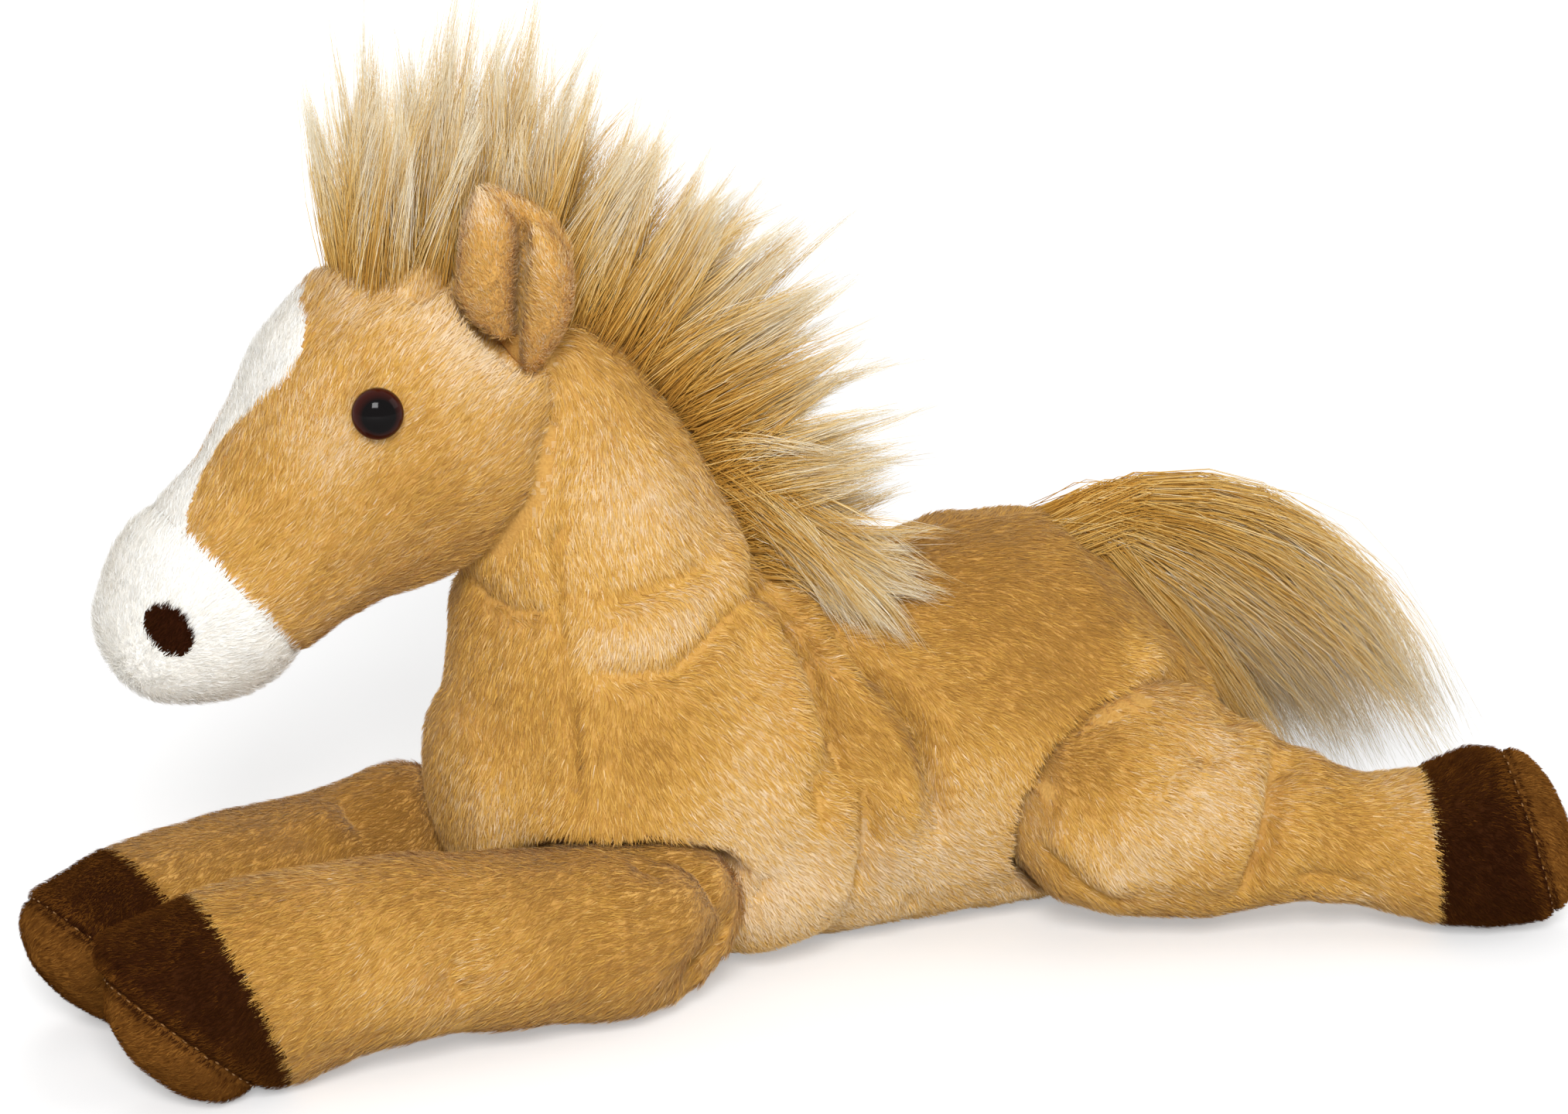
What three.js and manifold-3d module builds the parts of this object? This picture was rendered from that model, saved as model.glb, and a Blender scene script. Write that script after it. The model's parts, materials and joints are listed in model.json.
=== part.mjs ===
// A stuffed plush horse, lying on its belly with its forelegs stretched ahead and its hind legs trailed behind.
// Millimetres, +Z up. The horse faces -X and its left side is -Y. The origin is on the floor under the belly.
//
// The horse is sewn from plush panels over soft filling. Each stuffed piece is a loft: a row of oval
// sections, each with a top point, a bottom point and a half width, closed by rounded ends. Where two
// pieces are sewn together the smaller one is cut by the larger one, and where a limb turns in its seam
// the body has a pocket of the limb's own shape.

import * as THREE from "three";
import { mergeVertices } from "three/addons/utils/BufferGeometryUtils.js";
import Module from "manifold-3d";

const wasm = await Module();
wasm.setup();

// Driving dimensions.
const SEAM_GAP = 0.3; // between two pieces that are sewn together
const TURN_GAP = 0.8; // round a limb that turns in its pocket
const CUT_OVERRUN = 400; // reach of every cutting block past what it cuts

const TORSO_LENGTH = 173;
const TORSO_HEIGHT = 88;
const TORSO_HALF_WIDTH = 38;
const CHEST_REACH = 76; // from the origin forward to the chest

const POUCH_LENGTH = 46; // the pouch of pellets that weights the belly
const POUCH_WIDTH = 40;
const POUCH_THICKNESS = 20;
const POUCH_AHEAD = 24; // behind the origin
const POUCH_CLEARANCE = 0.4;
const POUCH_LIFT = 9; // filling under the pouch
const CLOSING_SLIT_LENGTH = 34; // the hand-closed seam that the filling went in by
const CLOSING_SLIT_WIDTH = 0.8;

const POLL_REACH = 55; // nod pivot, ahead of the origin
const POLL_RISE = 116; // nod pivot, above the floor
const NECK_TOP_RADIUS = 26;
const NECK_TOP_HALF_WIDTH = 22;
const NECK_BASE_HALF_WIDTH = 33;

const HEAD_LENGTH = 87;
const HEAD_HEIGHT = 87;
const HEAD_HALF_WIDTH = 29;
const PANEL_THICKNESS = 2; // blaze and nostril panels, plush with its backing
const BLAZE_HALF_WIDTH = 13;
const BLAZE_NECK_HALF_WIDTH = 9;
const NOSTRIL_LENGTH = 11;
const NOSTRIL_WIDTH = 8;

const EYE_RADIUS = 5;
const EYE_DOME = 3.4;
const EYE_RIM = 1;
const SHANK_RADIUS = 1.7;
const SHANK_LENGTH = 12;
const SHANK_RIDGE = 0.3;
const SHANK_RIDGE_PITCH = 2.2;
const WASHER_RADIUS = 6;
const WASHER_THICKNESS = 1.2;
const WASHER_DEPTH = 5; // from the back of the eye to the washer
const EYE_CLEARANCE = 0.3;

const EAR_LENGTH = 37;
const EAR_HALF_WIDTH = 11.5;
const EAR_HALF_THICKNESS = 5.5;
const EAR_FOLD_WIDTH = 1.6;
const EAR_FOLD_DEPTH = 4.5;

const MANE_HALF_WIDTH = 8;
const MANE_HAIR = 45; // length of the pile
const FORELOCK_LOCKS = 7;
const CREST_LOCKS = 13;
const LOCK_RADIUS = 5;

const TAIL_LENGTH = 100;
const TAIL_DROP = 70;
const TAIL_HALF_WIDTH = 12;
const TAIL_ROOT_RADIUS = 5;

const FORELEG_LENGTH = 122; // shoulder pivot to toe
const FORELEG_HEIGHT = 43;
const FAR_FORELEG_HEIGHT = 38; // the right foreleg lies pressed flatter
const FORELEG_HALF_WIDTH = 17.5;
const SHOULDER_AHEAD = 38; // of the origin
const FAR_SHOULDER_AHEAD = 43.5;
const SHOULDER_OUT = 31; // of the middle plane

const HINDLEG_LENGTH = 92; // hip pivot to sole
const THIGH_HEIGHT = 54;
const THIGH_HALF_WIDTH = 23.5;
const SHANK_HALF_WIDTH = 15;
const HIND_HOOF_HEIGHT = 39;
const HIP_BEHIND = 61; // the origin
const HIP_OUT = 27; // of the middle plane
const SOLE_BULGE = 8;

// Angles in degrees.
const FAR_FORELEG_TURN_DEGREES = 13; // the right foreleg lies turned in
const HINDLEG_SPLAY_DEGREES = 22;
const FAR_HINDLEG_SPLAY_DEGREES = 28;
const NOD_DEGREES = 8;
const HIP_IN_DEGREES = 8;
const EAR_IN_DEGREES = 5;
const EAR_OUT_DEGREES = 30;
const SHOULDER_OUT_DEGREES = 35;
const FAR_SHOULDER_OUT_DEGREES = 45;
const HIP_OUT_DEGREES = 25;

// Fineness of the facets.
const BODY_SIDES = 20;
const HEAD_SIDES = 20;
const LEG_SIDES = 16;
const LOCK_SIDES = 5;
const EAR_SIDES = 10;
const EYE_SIDES = 12;
const EYE_RINGS = 5;
const POUCH_RINGS = 10;
const OUTLINE_SEGMENTS = 8;
const DOME_RINGS = 2;
const RINGS_PER_SECTION = 1;
const NOD_TURNS = 1; // steps of a turn that a pocket is cut for
const EAR_TURNS = 4;
const SHOULDER_TURNS = 1;
const HIP_TURNS = 2;

const LEFT = -1;
const RIGHT = 1;
const SIDE_NAME = { [LEFT]: "left", [RIGHT]: "right" };
const X = new THREE.Vector3(1, 0, 0);
const Y = new THREE.Vector3(0, 1, 0);
const Z = new THREE.Vector3(0, 0, 1);
const radians = THREE.MathUtils.degToRad;

const at = (x, y, z) => new THREE.Vector3(x, y, z);

const plush = (color, roughness = 0.95) => new THREE.MeshStandardMaterial({ color, roughness, metalness: 0 });
const MATERIAL = {
  tan: plush(0xd9a860),
  cream: plush(0xe2c896),
  white: plush(0xf6f1e6),
  darkBrown: plush(0x40230f),
  brown: plush(0x7a4d22),
  eye: plush(0x120906, 0.12),
  washer: plush(0xdcdcd6, 0.5),
  pouch: plush(0xe9e5da, 0.8),
};

// Solids.

// A closed solid from a list of points and a list of triangles.
function solidFrom(points, triangles) {
  const vertProperties = new Float32Array(points.flatMap((p) => [p.x, p.y, p.z]));
  return new wasm.Manifold(new wasm.Mesh({ numProp: 3, vertProperties, triVerts: new Uint32Array(triangles.flat()) }));
}

// A closed solid from a three.js geometry.
function solidOf(geometry) {
  const bare = geometry.index ? geometry.toNonIndexed() : geometry.clone();
  bare.deleteAttribute("normal");
  bare.deleteAttribute("uv");
  const merged = mergeVertices(bare, 1e-4);
  const vertProperties = new Float32Array(merged.attributes.position.array);
  return new wasm.Manifold(new wasm.Mesh({ numProp: 3, vertProperties, triVerts: new Uint32Array(merged.index.array) }));
}

// The same solid moved by a matrix.
function moved(solid, matrix) {
  const mesh = solid.getMesh();
  const vertProperties = new Float32Array(mesh.vertProperties);
  const point = new THREE.Vector3();
  for (let i = 0; i < vertProperties.length; i += 3) {
    point.fromArray(vertProperties, i).applyMatrix4(matrix).toArray(vertProperties, i);
  }
  return new wasm.Manifold(new wasm.Mesh({ numProp: 3, vertProperties, triVerts: new Uint32Array(mesh.triVerts) }));
}

// A matrix that turns by an angle in degrees about an axis through a point.
function turnAbout(point, axis, degrees) {
  return new THREE.Matrix4()
    .makeTranslation(point)
    .multiply(new THREE.Matrix4().makeRotationAxis(axis, radians(degrees)))
    .multiply(new THREE.Matrix4().makeTranslation(point.clone().negate()));
}

// The room that a solid needs as it turns about an axis through a point, between two angles in degrees.
function room(solid, point, axis, from, to, turns) {
  return Array.from({ length: turns + 1 }, (_, i) => from + ((to - from) * i) / turns)
    .map((degrees) => moved(solid, turnAbout(point, axis, degrees)))
    .reduce((sum, next) => sum.add(next));
}

// Everything on the side of a plane that its normal points to.
function halfSpace(point, normal) {
  const block = new THREE.BoxGeometry(CUT_OVERRUN, CUT_OVERRUN, CUT_OVERRUN).translate(0, 0, CUT_OVERRUN / 2);
  const turn = new THREE.Quaternion().setFromUnitVectors(Z, normal.clone().normalize());
  return solidOf(block.applyMatrix4(new THREE.Matrix4().compose(point, turn, at(1, 1, 1))));
}

// What lies above the floor, so that the filling is pressed flat there.
const onFloor = (solid) => solid.intersect(halfSpace(at(0, 0, 0), Z));

// The largest separate body of a solid.
function largest(solid) {
  return solid.decompose().sort((a, b) => b.volume() - a.volume())[0];
}

// A loft through oval sections. Each section is { top, bottom, half, side }: two points, the half width
// and the direction of that width. startDome and endDome are how far the rounded ends stand out.
function loft(sections, { sides, startDome = 0, endDome = 0, grow = 0, domeRings = DOME_RINGS }) {
  const tops = new THREE.CatmullRomCurve3(sections.map((s) => s.top));
  const bottoms = new THREE.CatmullRomCurve3(sections.map((s) => s.bottom));
  const widths = new THREE.CatmullRomCurve3(sections.map((s, i) => at(i, s.half, 0)));
  const side = sections[0].side;
  const steps = (sections.length - 1) * RINGS_PER_SECTION;
  const ovals = [];
  for (let i = 0; i <= steps; i += 1) {
    const top = tops.getPoint(i / steps);
    const bottom = bottoms.getPoint(i / steps);
    const up = top.clone().sub(bottom).multiplyScalar(0.5);
    const centre = bottom.clone().add(up);
    const half = widths.getPoint(i / steps).y + grow;
    ovals.push({ centre, up: up.setLength(up.length() + grow), half });
  }
  const first = ovals[0];
  const last = ovals[steps];
  const startOut = new THREE.Vector3().crossVectors(first.up, side).normalize();
  if (startOut.dot(last.centre.clone().sub(first.centre)) > 0) {
    startOut.negate();
  }
  const endOut = new THREE.Vector3().crossVectors(last.up, side).normalize();
  if (endOut.dot(last.centre.clone().sub(first.centre)) < 0) {
    endOut.negate();
  }
  const startReach = startDome + grow;
  const endReach = endDome + grow;
  const shrunk = (oval, out, reach, share) => {
    const angle = (share * Math.PI) / 2;
    return {
      centre: oval.centre.clone().addScaledVector(out, reach * Math.sin(angle)),
      up: oval.up.clone().multiplyScalar(Math.cos(angle)),
      half: oval.half * Math.cos(angle),
    };
  };
  const rows = [...ovals];
  for (let i = 1; i <= domeRings; i += 1) {
    const share = i / (domeRings + 1);
    if (startDome > 0) rows.unshift(shrunk(first, startOut, startReach, share));
    if (endDome > 0) rows.push(shrunk(last, endOut, endReach, share));
  }
  const points = rows.flatMap(({ centre, up, half }) =>
    Array.from({ length: sides }, (_, k) => {
      const angle = (k / sides) * Math.PI * 2;
      return centre
        .clone()
        .addScaledVector(up, Math.sin(angle))
        .addScaledVector(side, half * Math.cos(angle));
    }),
  );
  const startPole = points.length;
  points.push(first.centre.clone().addScaledVector(startOut, startReach));
  const endPole = points.length;
  points.push(last.centre.clone().addScaledVector(endOut, endReach));
  const triangles = [];
  for (let row = 0; row + 1 < rows.length; row += 1) {
    for (let k = 0; k < sides; k += 1) {
      const a = row * sides + k;
      const b = row * sides + ((k + 1) % sides);
      triangles.push([a, b, b + sides], [a, b + sides, a + sides]);
    }
  }
  const lastRow = (rows.length - 1) * sides;
  for (let k = 0; k < sides; k += 1) {
    const next = (k + 1) % sides;
    triangles.push([startPole, next, k], [endPole, lastRow + k, lastRow + next]);
  }
  const made = solidFrom(points, triangles);
  return made.volume() > 0 ? made : solidFrom(points, triangles.map(([a, b, c]) => [a, c, b]));
}

// Torso.

// Shares of the torso's length from the chest, of its height and of its half width:
// [along, bottom, top, half width].
const TORSO_SHARES = [
  [0.035, 0.27, 0.73, 0.5],
  [0.12, 0.04, 0.93, 0.88],
  [0.24, -0.005, 1.0, 1.0],
  [0.38, -0.006, 0.93, 0.95],
  [0.52, -0.006, 0.885, 0.87],
  [0.66, -0.006, 0.965, 0.94],
  [0.78, 0.0, 0.95, 0.97],
  [0.88, 0.06, 0.77, 0.82],
  [0.955, 0.17, 0.6, 0.54],
];
const TORSO_FRONT_DOME_SHARE = 0.035;
const TORSO_BACK_DOME_SHARE = 0.045;

function torsoLoft(grow) {
  const sections = TORSO_SHARES.map(([along, bottom, top, half]) => {
    const x = along * TORSO_LENGTH - CHEST_REACH;
    return {
      top: at(x, 0, top * TORSO_HEIGHT),
      bottom: at(x, 0, bottom * TORSO_HEIGHT),
      half: half * TORSO_HALF_WIDTH,
      side: Y,
    };
  });
  const startDome = TORSO_FRONT_DOME_SHARE * TORSO_LENGTH;
  const endDome = TORSO_BACK_DOME_SHARE * TORSO_LENGTH;
  return loft(sections, { sides: BODY_SIDES, startDome, endDome, grow });
}

// Neck. Its top is a ball round the nod pivot, which the head turns on.
const NOD_PIVOT = at(-POLL_REACH, 0, POLL_RISE);
const NECK_SLOPE_DEGREES = 38; // that the neck's top leans forward from upright

// Shares of the pivot's reach and rise, [nape along, nape up, throat along, throat up], and of the
// way from the base's half width to the top's.
const NECK_SHARES = [
  [0.0, 0.48, 1.2, 0.32, 0.0],
  [0.08, 0.66, 1.33, 0.48, 0.1],
  [0.22, 0.81, 1.29, 0.62, 0.42],
  [0.38, 0.96, 1.27, 0.74, 0.75],
];

function neckLoft(grow) {
  const across = at(Math.cos(radians(NECK_SLOPE_DEGREES)), 0, Math.sin(radians(NECK_SLOPE_DEGREES)));
  const sections = NECK_SHARES.map(([napeAlong, napeUp, throatAlong, throatUp, wayUp]) => ({
    top: at(-napeAlong * POLL_REACH, 0, napeUp * POLL_RISE),
    bottom: at(-throatAlong * POLL_REACH, 0, throatUp * POLL_RISE),
    half: THREE.MathUtils.lerp(NECK_BASE_HALF_WIDTH, NECK_TOP_HALF_WIDTH, wayUp),
    side: Y,
  }));
  sections.push({
    top: NOD_PIVOT.clone().addScaledVector(across, NECK_TOP_RADIUS),
    bottom: NOD_PIVOT.clone().addScaledVector(across, -NECK_TOP_RADIUS),
    half: NECK_TOP_HALF_WIDTH,
    side: Y,
  });
  return loft(sections, { sides: BODY_SIDES, startDome: NECK_TOP_RADIUS / 4, endDome: NECK_TOP_RADIUS, grow });
}

// Head. Shares of its length and height from the nod pivot, and of its half width:
// [brow along, brow up, jaw along, jaw up, half width].
const HEAD_SHARES = [
  [-0.985, -0.275, -0.85, -0.54, 0.56],
  [-0.95, -0.165, -0.68, -0.545, 0.72],
  [-0.86, -0.095, -0.565, -0.465, 0.74],
  [-0.77, -0.015, -0.475, -0.41, 0.74],
  [-0.68, 0.115, -0.375, -0.365, 0.8],
  [-0.605, 0.26, -0.25, -0.34, 0.91],
  [-0.48, 0.385, -0.13, -0.3, 1.0],
  [-0.33, 0.43, -0.03, -0.22, 0.99],
  [-0.15, 0.41, 0.0, -0.08, 0.86],
];
const MUZZLE_SEAM_SHARES = HEAD_SHARES[2]; // the section that the muzzle is sewn to the face in
const MUZZLE_DOME_SHARE = 0.08;
const CROWN_DOME_SHARE = 0.07;

function headPoint(along, up) {
  return NOD_PIVOT.clone().add(at(along * HEAD_LENGTH, 0, up * HEAD_HEIGHT));
}

function headLoft(grow) {
  const sections = HEAD_SHARES.map(([browAlong, browUp, jawAlong, jawUp, half]) => ({
    top: headPoint(browAlong, browUp),
    bottom: headPoint(jawAlong, jawUp),
    half: half * HEAD_HALF_WIDTH,
    side: Y,
  }));
  const startDome = MUZZLE_DOME_SHARE * HEAD_LENGTH;
  const endDome = CROWN_DOME_SHARE * HEAD_LENGTH;
  return loft(sections, { sides: HEAD_SIDES, startDome, endDome, grow });
}

// The muzzle's seam: a point on it and the direction towards the nose.
function muzzleSeam() {
  const [browAlong, browUp, jawAlong, jawUp] = MUZZLE_SEAM_SHARES;
  const brow = headPoint(browAlong, browUp);
  const jaw = headPoint(jawAlong, jawUp);
  const forward = new THREE.Vector3().crossVectors(brow.clone().sub(jaw), Y).normalize();
  return { point: brow.clone().lerp(jaw, 0.5), forward: forward.x < 0 ? forward : forward.negate() };
}

// The blaze: a prism that cuts its outline out of the brow. Shares of the head's length and height
// from the nod pivot, and of the way from the narrow half width to the wide one: [along, up, wide].
const BLAZE_SHARES = [
  [-0.92, -0.17, 1.0],
  [-0.83, -0.06, 0.0],
  [-0.75, 0.02, 0.1],
  [-0.68, 0.13, 0.5],
  [-0.62, 0.24, 1.0],
  [-0.55, 0.33, 0.7],
  [-0.5, 0.37, 0.1],
];
const BLAZE_REACH_SHARE = 0.16; // of the head's height, how far the prism reaches out of and into the brow

function blazePrism(grow) {
  const reach = BLAZE_REACH_SHARE * HEAD_HEIGHT;
  const line = new THREE.CatmullRomCurve3(BLAZE_SHARES.map(([along, up]) => headPoint(along, up)));
  const wide = new THREE.CatmullRomCurve3(BLAZE_SHARES.map(([, , share], i) => at(i, share, 0)));
  const steps = (BLAZE_SHARES.length - 1) * RINGS_PER_SECTION;
  const points = [];
  for (let i = 0; i <= steps; i += 1) {
    const tangent = line.getTangent(i / steps);
    const out = new THREE.Vector3().crossVectors(tangent, Y).normalize();
    const middle = line.getPoint(i / steps).addScaledVector(tangent, i === 0 ? -grow : i === steps ? grow : 0);
    const half = THREE.MathUtils.lerp(BLAZE_NECK_HALF_WIDTH, BLAZE_HALF_WIDTH, wide.getPoint(i / steps).y) + grow;
    for (const [across, away] of [[-1, -1], [1, -1], [1, 1], [-1, 1]]) {
      points.push(middle.clone().addScaledVector(Y, across * half).addScaledVector(out, away * reach));
    }
  }
  const triangles = [[0, 1, 2], [0, 2, 3]];
  for (let i = 0; i < steps; i += 1) {
    for (let k = 0; k < 4; k += 1) {
      const a = i * 4 + k;
      const b = i * 4 + ((k + 1) % 4);
      triangles.push([a, a + 4, b + 4], [a, b + 4, b]);
    }
  }
  const end = steps * 4;
  triangles.push([end, end + 2, end + 1], [end, end + 3, end + 2]);
  const made = solidFrom(points, triangles);
  return made.volume() > 0 ? made : solidFrom(points, triangles.map(([a, b, c]) => [a, c, b]));
}

// Eyes: a domed button on a ridged shank, held by a washer inside the head.
const EYE_SHARES = [-0.455, 0.15, 0.93]; // along and up from the nod pivot, and out of the head's half width
const EYE_FORWARD_DEGREES = 14; // that the eyes look ahead of straight sideways
const EYE_UP_DEGREES = 6;

// The placing of a piece whose own +Z points out of the head.
function facing(point, side, forwardDegrees, upDegrees) {
  const out = at(
    -Math.sin(radians(forwardDegrees)),
    side * Math.cos(radians(forwardDegrees)),
    Math.tan(radians(upDegrees)),
  ).normalize();
  const turn = new THREE.Quaternion().setFromUnitVectors(Z, out);
  return new THREE.Matrix4().compose(point, turn, at(1, 1, 1));
}

function eyePlace(side) {
  const [along, up, out] = EYE_SHARES;
  return facing(headPoint(along, up).setY(side * out * HEAD_HALF_WIDTH), side, EYE_FORWARD_DEGREES, EYE_UP_DEGREES);
}

function eyeSolid() {
  const profile = [new THREE.Vector2(0, -SHANK_LENGTH), new THREE.Vector2(SHANK_RADIUS - SHANK_RIDGE, -SHANK_LENGTH)];
  for (let z = SHANK_RIDGE_PITCH - SHANK_LENGTH; z < -WASHER_DEPTH - SHANK_RIDGE_PITCH; z += SHANK_RIDGE_PITCH) {
    profile.push(new THREE.Vector2(SHANK_RADIUS, z), new THREE.Vector2(SHANK_RADIUS - SHANK_RIDGE, z));
  }
  profile.push(new THREE.Vector2(SHANK_RADIUS, -WASHER_DEPTH), new THREE.Vector2(SHANK_RADIUS, 0));
  profile.push(new THREE.Vector2(EYE_RADIUS, 0), new THREE.Vector2(EYE_RADIUS, EYE_RIM));
  for (let i = 1; i < EYE_RINGS; i += 1) {
    const angle = ((i / EYE_RINGS) * Math.PI) / 2;
    profile.push(new THREE.Vector2(EYE_RADIUS * Math.cos(angle), EYE_RIM + (EYE_DOME - EYE_RIM) * Math.sin(angle)));
  }
  profile.push(new THREE.Vector2(0, EYE_DOME));
  return solidOf(new THREE.LatheGeometry(profile, EYE_SIDES).rotateX(Math.PI / 2));
}

function ringSolid(inner, outer, low, high) {
  const profile = [[inner, low], [outer, low], [outer, high], [inner, high], [inner, low]];
  const points = profile.map(([r, z]) => new THREE.Vector2(r, z));
  return solidOf(new THREE.LatheGeometry(points, EYE_SIDES).rotateX(Math.PI / 2));
}

function drumSolid(radius, low, high) {
  const drum = new THREE.CylinderGeometry(radius, radius, high - low, EYE_SIDES);
  return solidOf(drum.rotateX(Math.PI / 2).translate(0, 0, (high + low) / 2));
}

// What the head gives up to an eye: a shallow seat, the shank's hole and the washer's pocket.
function eyeCut() {
  const shank = drumSolid(SHANK_RADIUS + EYE_CLEARANCE, -SHANK_LENGTH - EYE_CLEARANCE, EYE_DOME);
  const seat = drumSolid(EYE_RADIUS + EYE_CLEARANCE, -EYE_CLEARANCE, EYE_DOME * 2);
  const pocketEnd = -WASHER_DEPTH - WASHER_THICKNESS - EYE_CLEARANCE;
  const pocket = drumSolid(WASHER_RADIUS + EYE_CLEARANCE, pocketEnd, EYE_CLEARANCE - WASHER_DEPTH);
  return shank.add(seat).add(pocket);
}

// Nostrils: an oval plush patch, sewn flush into the muzzle.
const NOSTRIL_SHARES = [-0.82, -0.31]; // along and up from the nod pivot
const NOSTRIL_FORWARD_DEGREES = 24;
const NOSTRIL_LEAN_DEGREES = 28;

function nostrilPrism(side, grow) {
  const outline = new THREE.Shape();
  outline.absellipse(0, 0, NOSTRIL_WIDTH / 2 + grow, NOSTRIL_LENGTH / 2 + grow, 0, Math.PI * 2);
  const prism = new THREE.ExtrudeGeometry(outline, { depth: HEAD_HALF_WIDTH, bevelEnabled: false, curveSegments: OUTLINE_SEGMENTS });
  const place = facing(headPoint(...NOSTRIL_SHARES), side, NOSTRIL_FORWARD_DEGREES, 0);
  return solidOf(prism.rotateZ(radians(side * NOSTRIL_LEAN_DEGREES)).applyMatrix4(place));
}

// Ears: leaf-shaped and folded once, so that the opening shows as a slit.
const EAR_PIVOT_SHARES = [-0.06, 0.2, 0.72]; // along and up from the nod pivot, and out of the half width
const EAR_BACK_DEGREES = -15;
const EAR_LEAN_DEGREES = 8;
const EAR_TURN_DEGREES = 24;
// Shares of the ear's length, half width and half thickness: [up, half width, half thickness].
const EAR_SHARES = [
  [0.06, 0.62, 0.75],
  [0.26, 0.94, 1.0],
  [0.5, 1.0, 1.0],
  [0.74, 0.82, 0.85],
  [0.91, 0.46, 0.6],
];
const EAR_TIP_SHARE = 0.09;
const EAR_ROOT_SHARE = 0.06;
const EAR_SLIT_SHARES = [0.12, 0.45, 0.8]; // of the ear's length: the slit's foot, its bow and its top

function earPivot(side) {
  const [along, up, out] = EAR_PIVOT_SHARES;
  return headPoint(along, up).setY(side * out * HEAD_HALF_WIDTH);
}

function earPlace(side) {
  const turn = new THREE.Euler(
    radians(-side * EAR_LEAN_DEGREES),
    radians(EAR_BACK_DEGREES),
    radians(side * EAR_TURN_DEGREES),
    "ZXY",
  );
  return new THREE.Matrix4().compose(earPivot(side), new THREE.Quaternion().setFromEuler(turn), at(1, 1, 1));
}

function earLoft(side, grow) {
  const sections = EAR_SHARES.map(([up, half, thick]) => ({
    top: at(half * EAR_HALF_WIDTH, 0, up * EAR_LENGTH),
    bottom: at(-half * EAR_HALF_WIDTH, 0, up * EAR_LENGTH),
    half: thick * EAR_HALF_THICKNESS,
    side: Y,
  }));
  const startDome = EAR_ROOT_SHARE * EAR_LENGTH;
  const endDome = EAR_TIP_SHARE * EAR_LENGTH;
  return moved(loft(sections, { sides: EAR_SIDES, startDome, endDome, grow }), earPlace(side));
}

// The slit where the two halves of the folded ear meet: a thin wedge let into the outer face.
function earSlit(side) {
  const outline = new THREE.Shape();
  const [low, middle, high] = EAR_SLIT_SHARES.map((share) => share * EAR_LENGTH);
  outline.moveTo(0, low);
  outline.quadraticCurveTo(EAR_FOLD_WIDTH * 2, middle, 0, high);
  outline.quadraticCurveTo(EAR_FOLD_WIDTH, middle, 0, low);
  const depth = EAR_HALF_THICKNESS * 2;
  const wedge = new THREE.ExtrudeGeometry(outline, { depth, bevelEnabled: false, curveSegments: OUTLINE_SEGMENTS });
  const slit = wedge.rotateX(Math.PI / 2).translate(0, side * (EAR_HALF_THICKNESS - EAR_FOLD_DEPTH), 0);
  const outward = side === RIGHT ? slit.translate(0, EAR_HALF_THICKNESS * 2, 0) : slit;
  return solidOf(outward.applyMatrix4(earPlace(side)));
}

// Locks of long hair: each one is a bent, tapering loft from a root point to a tip.
const LOCK_TAPER_SHARES = [0.7, 1.0, 0.95, 0.65, 0.16];

function lockSolid(root, bend, tip, radius, flatness) {
  const line = new THREE.QuadraticBezierCurve3(root, bend, tip);
  const last = LOCK_TAPER_SHARES.length - 1;
  const sections = LOCK_TAPER_SHARES.map((share, i) => {
    const centre = line.getPoint(i / last);
    const across = new THREE.Vector3().crossVectors(line.getTangent(i / last), Y).normalize();
    return {
      top: centre.clone().addScaledVector(across, share * radius),
      bottom: centre.clone().addScaledVector(across, -share * radius),
      half: share * radius * flatness,
      side: Y,
    };
  });
  return loft(sections, { sides: LOCK_SIDES, startDome: radius / 2, endDome: radius / 2, domeRings: 0 });
}

// The mane's root runs from the forelock over the poll, and down the nape to the withers.
// Shares of the head's length and height from the nod pivot: [along, up, hair length, lean back in degrees].
const FORELOCK_SHARES = [
  [-0.4, 0.37, 0.95, -2],
  [-0.32, 0.4, 1.0, -1],
  [-0.23, 0.4, 1.05, 2],
  [-0.13, 0.39, 1.05, 7],
  [-0.03, 0.36, 1.05, 13],
];
const CREST_SHARES = [
  [0.12, 0.24, 1.0, 22],
  [0.21, 0.2, 0.98, 34],
  [0.29, 0.13, 0.87, 50],
  [0.36, 0.03, 0.8, 64],
  [0.41, -0.08, 0.76, 74],
  [0.46, -0.21, 0.75, 78],
  [0.5, -0.32, 0.85, 88],
  [0.56, -0.4, 0.95, 108],
];

const MANE_BOW_SHARE = 0.08; // of its reach, how far a lock bows forward
const SHORT_LOCK_SHARE = 0.86; // every second lock is shorter
const LOCK_ACROSS_SHARES = [-0.5, 0, 0.5]; // of the mane's half width, where the tips lean in turn

function maneLocks(shares, count) {
  const roots = new THREE.CatmullRomCurve3(shares.map(([along, up]) => headPoint(along, up)));
  const hairs = new THREE.CatmullRomCurve3(shares.map(([, , hair, lean]) => at(hair, lean / 180, 0)));
  let sum = null;
  for (let i = 0; i < count; i += 1) {
    const way = i / (count - 1);
    const root = roots.getPoint(way);
    const { x: hair, y: lean } = hairs.getPoint(way);
    const angle = lean * Math.PI;
    const reach = MANE_HAIR * hair * (i % 2 ? 1 : SHORT_LOCK_SHARE);
    const tip = root.clone().add(at(Math.sin(angle) * reach, 0, Math.cos(angle) * reach));
    tip.add(at(0, LOCK_ACROSS_SHARES[i % LOCK_ACROSS_SHARES.length] * MANE_HALF_WIDTH, 0));
    const bow = at(-Math.cos(angle), 0, Math.sin(angle)).multiplyScalar(MANE_BOW_SHARE * reach);
    const bend = root.clone().lerp(tip, 0.5).add(bow);
    const lock = lockSolid(root, bend, tip, LOCK_RADIUS, MANE_HALF_WIDTH / LOCK_RADIUS);
    sum = sum ? sum.add(lock) : lock;
  }
  return sum;
}

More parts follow.
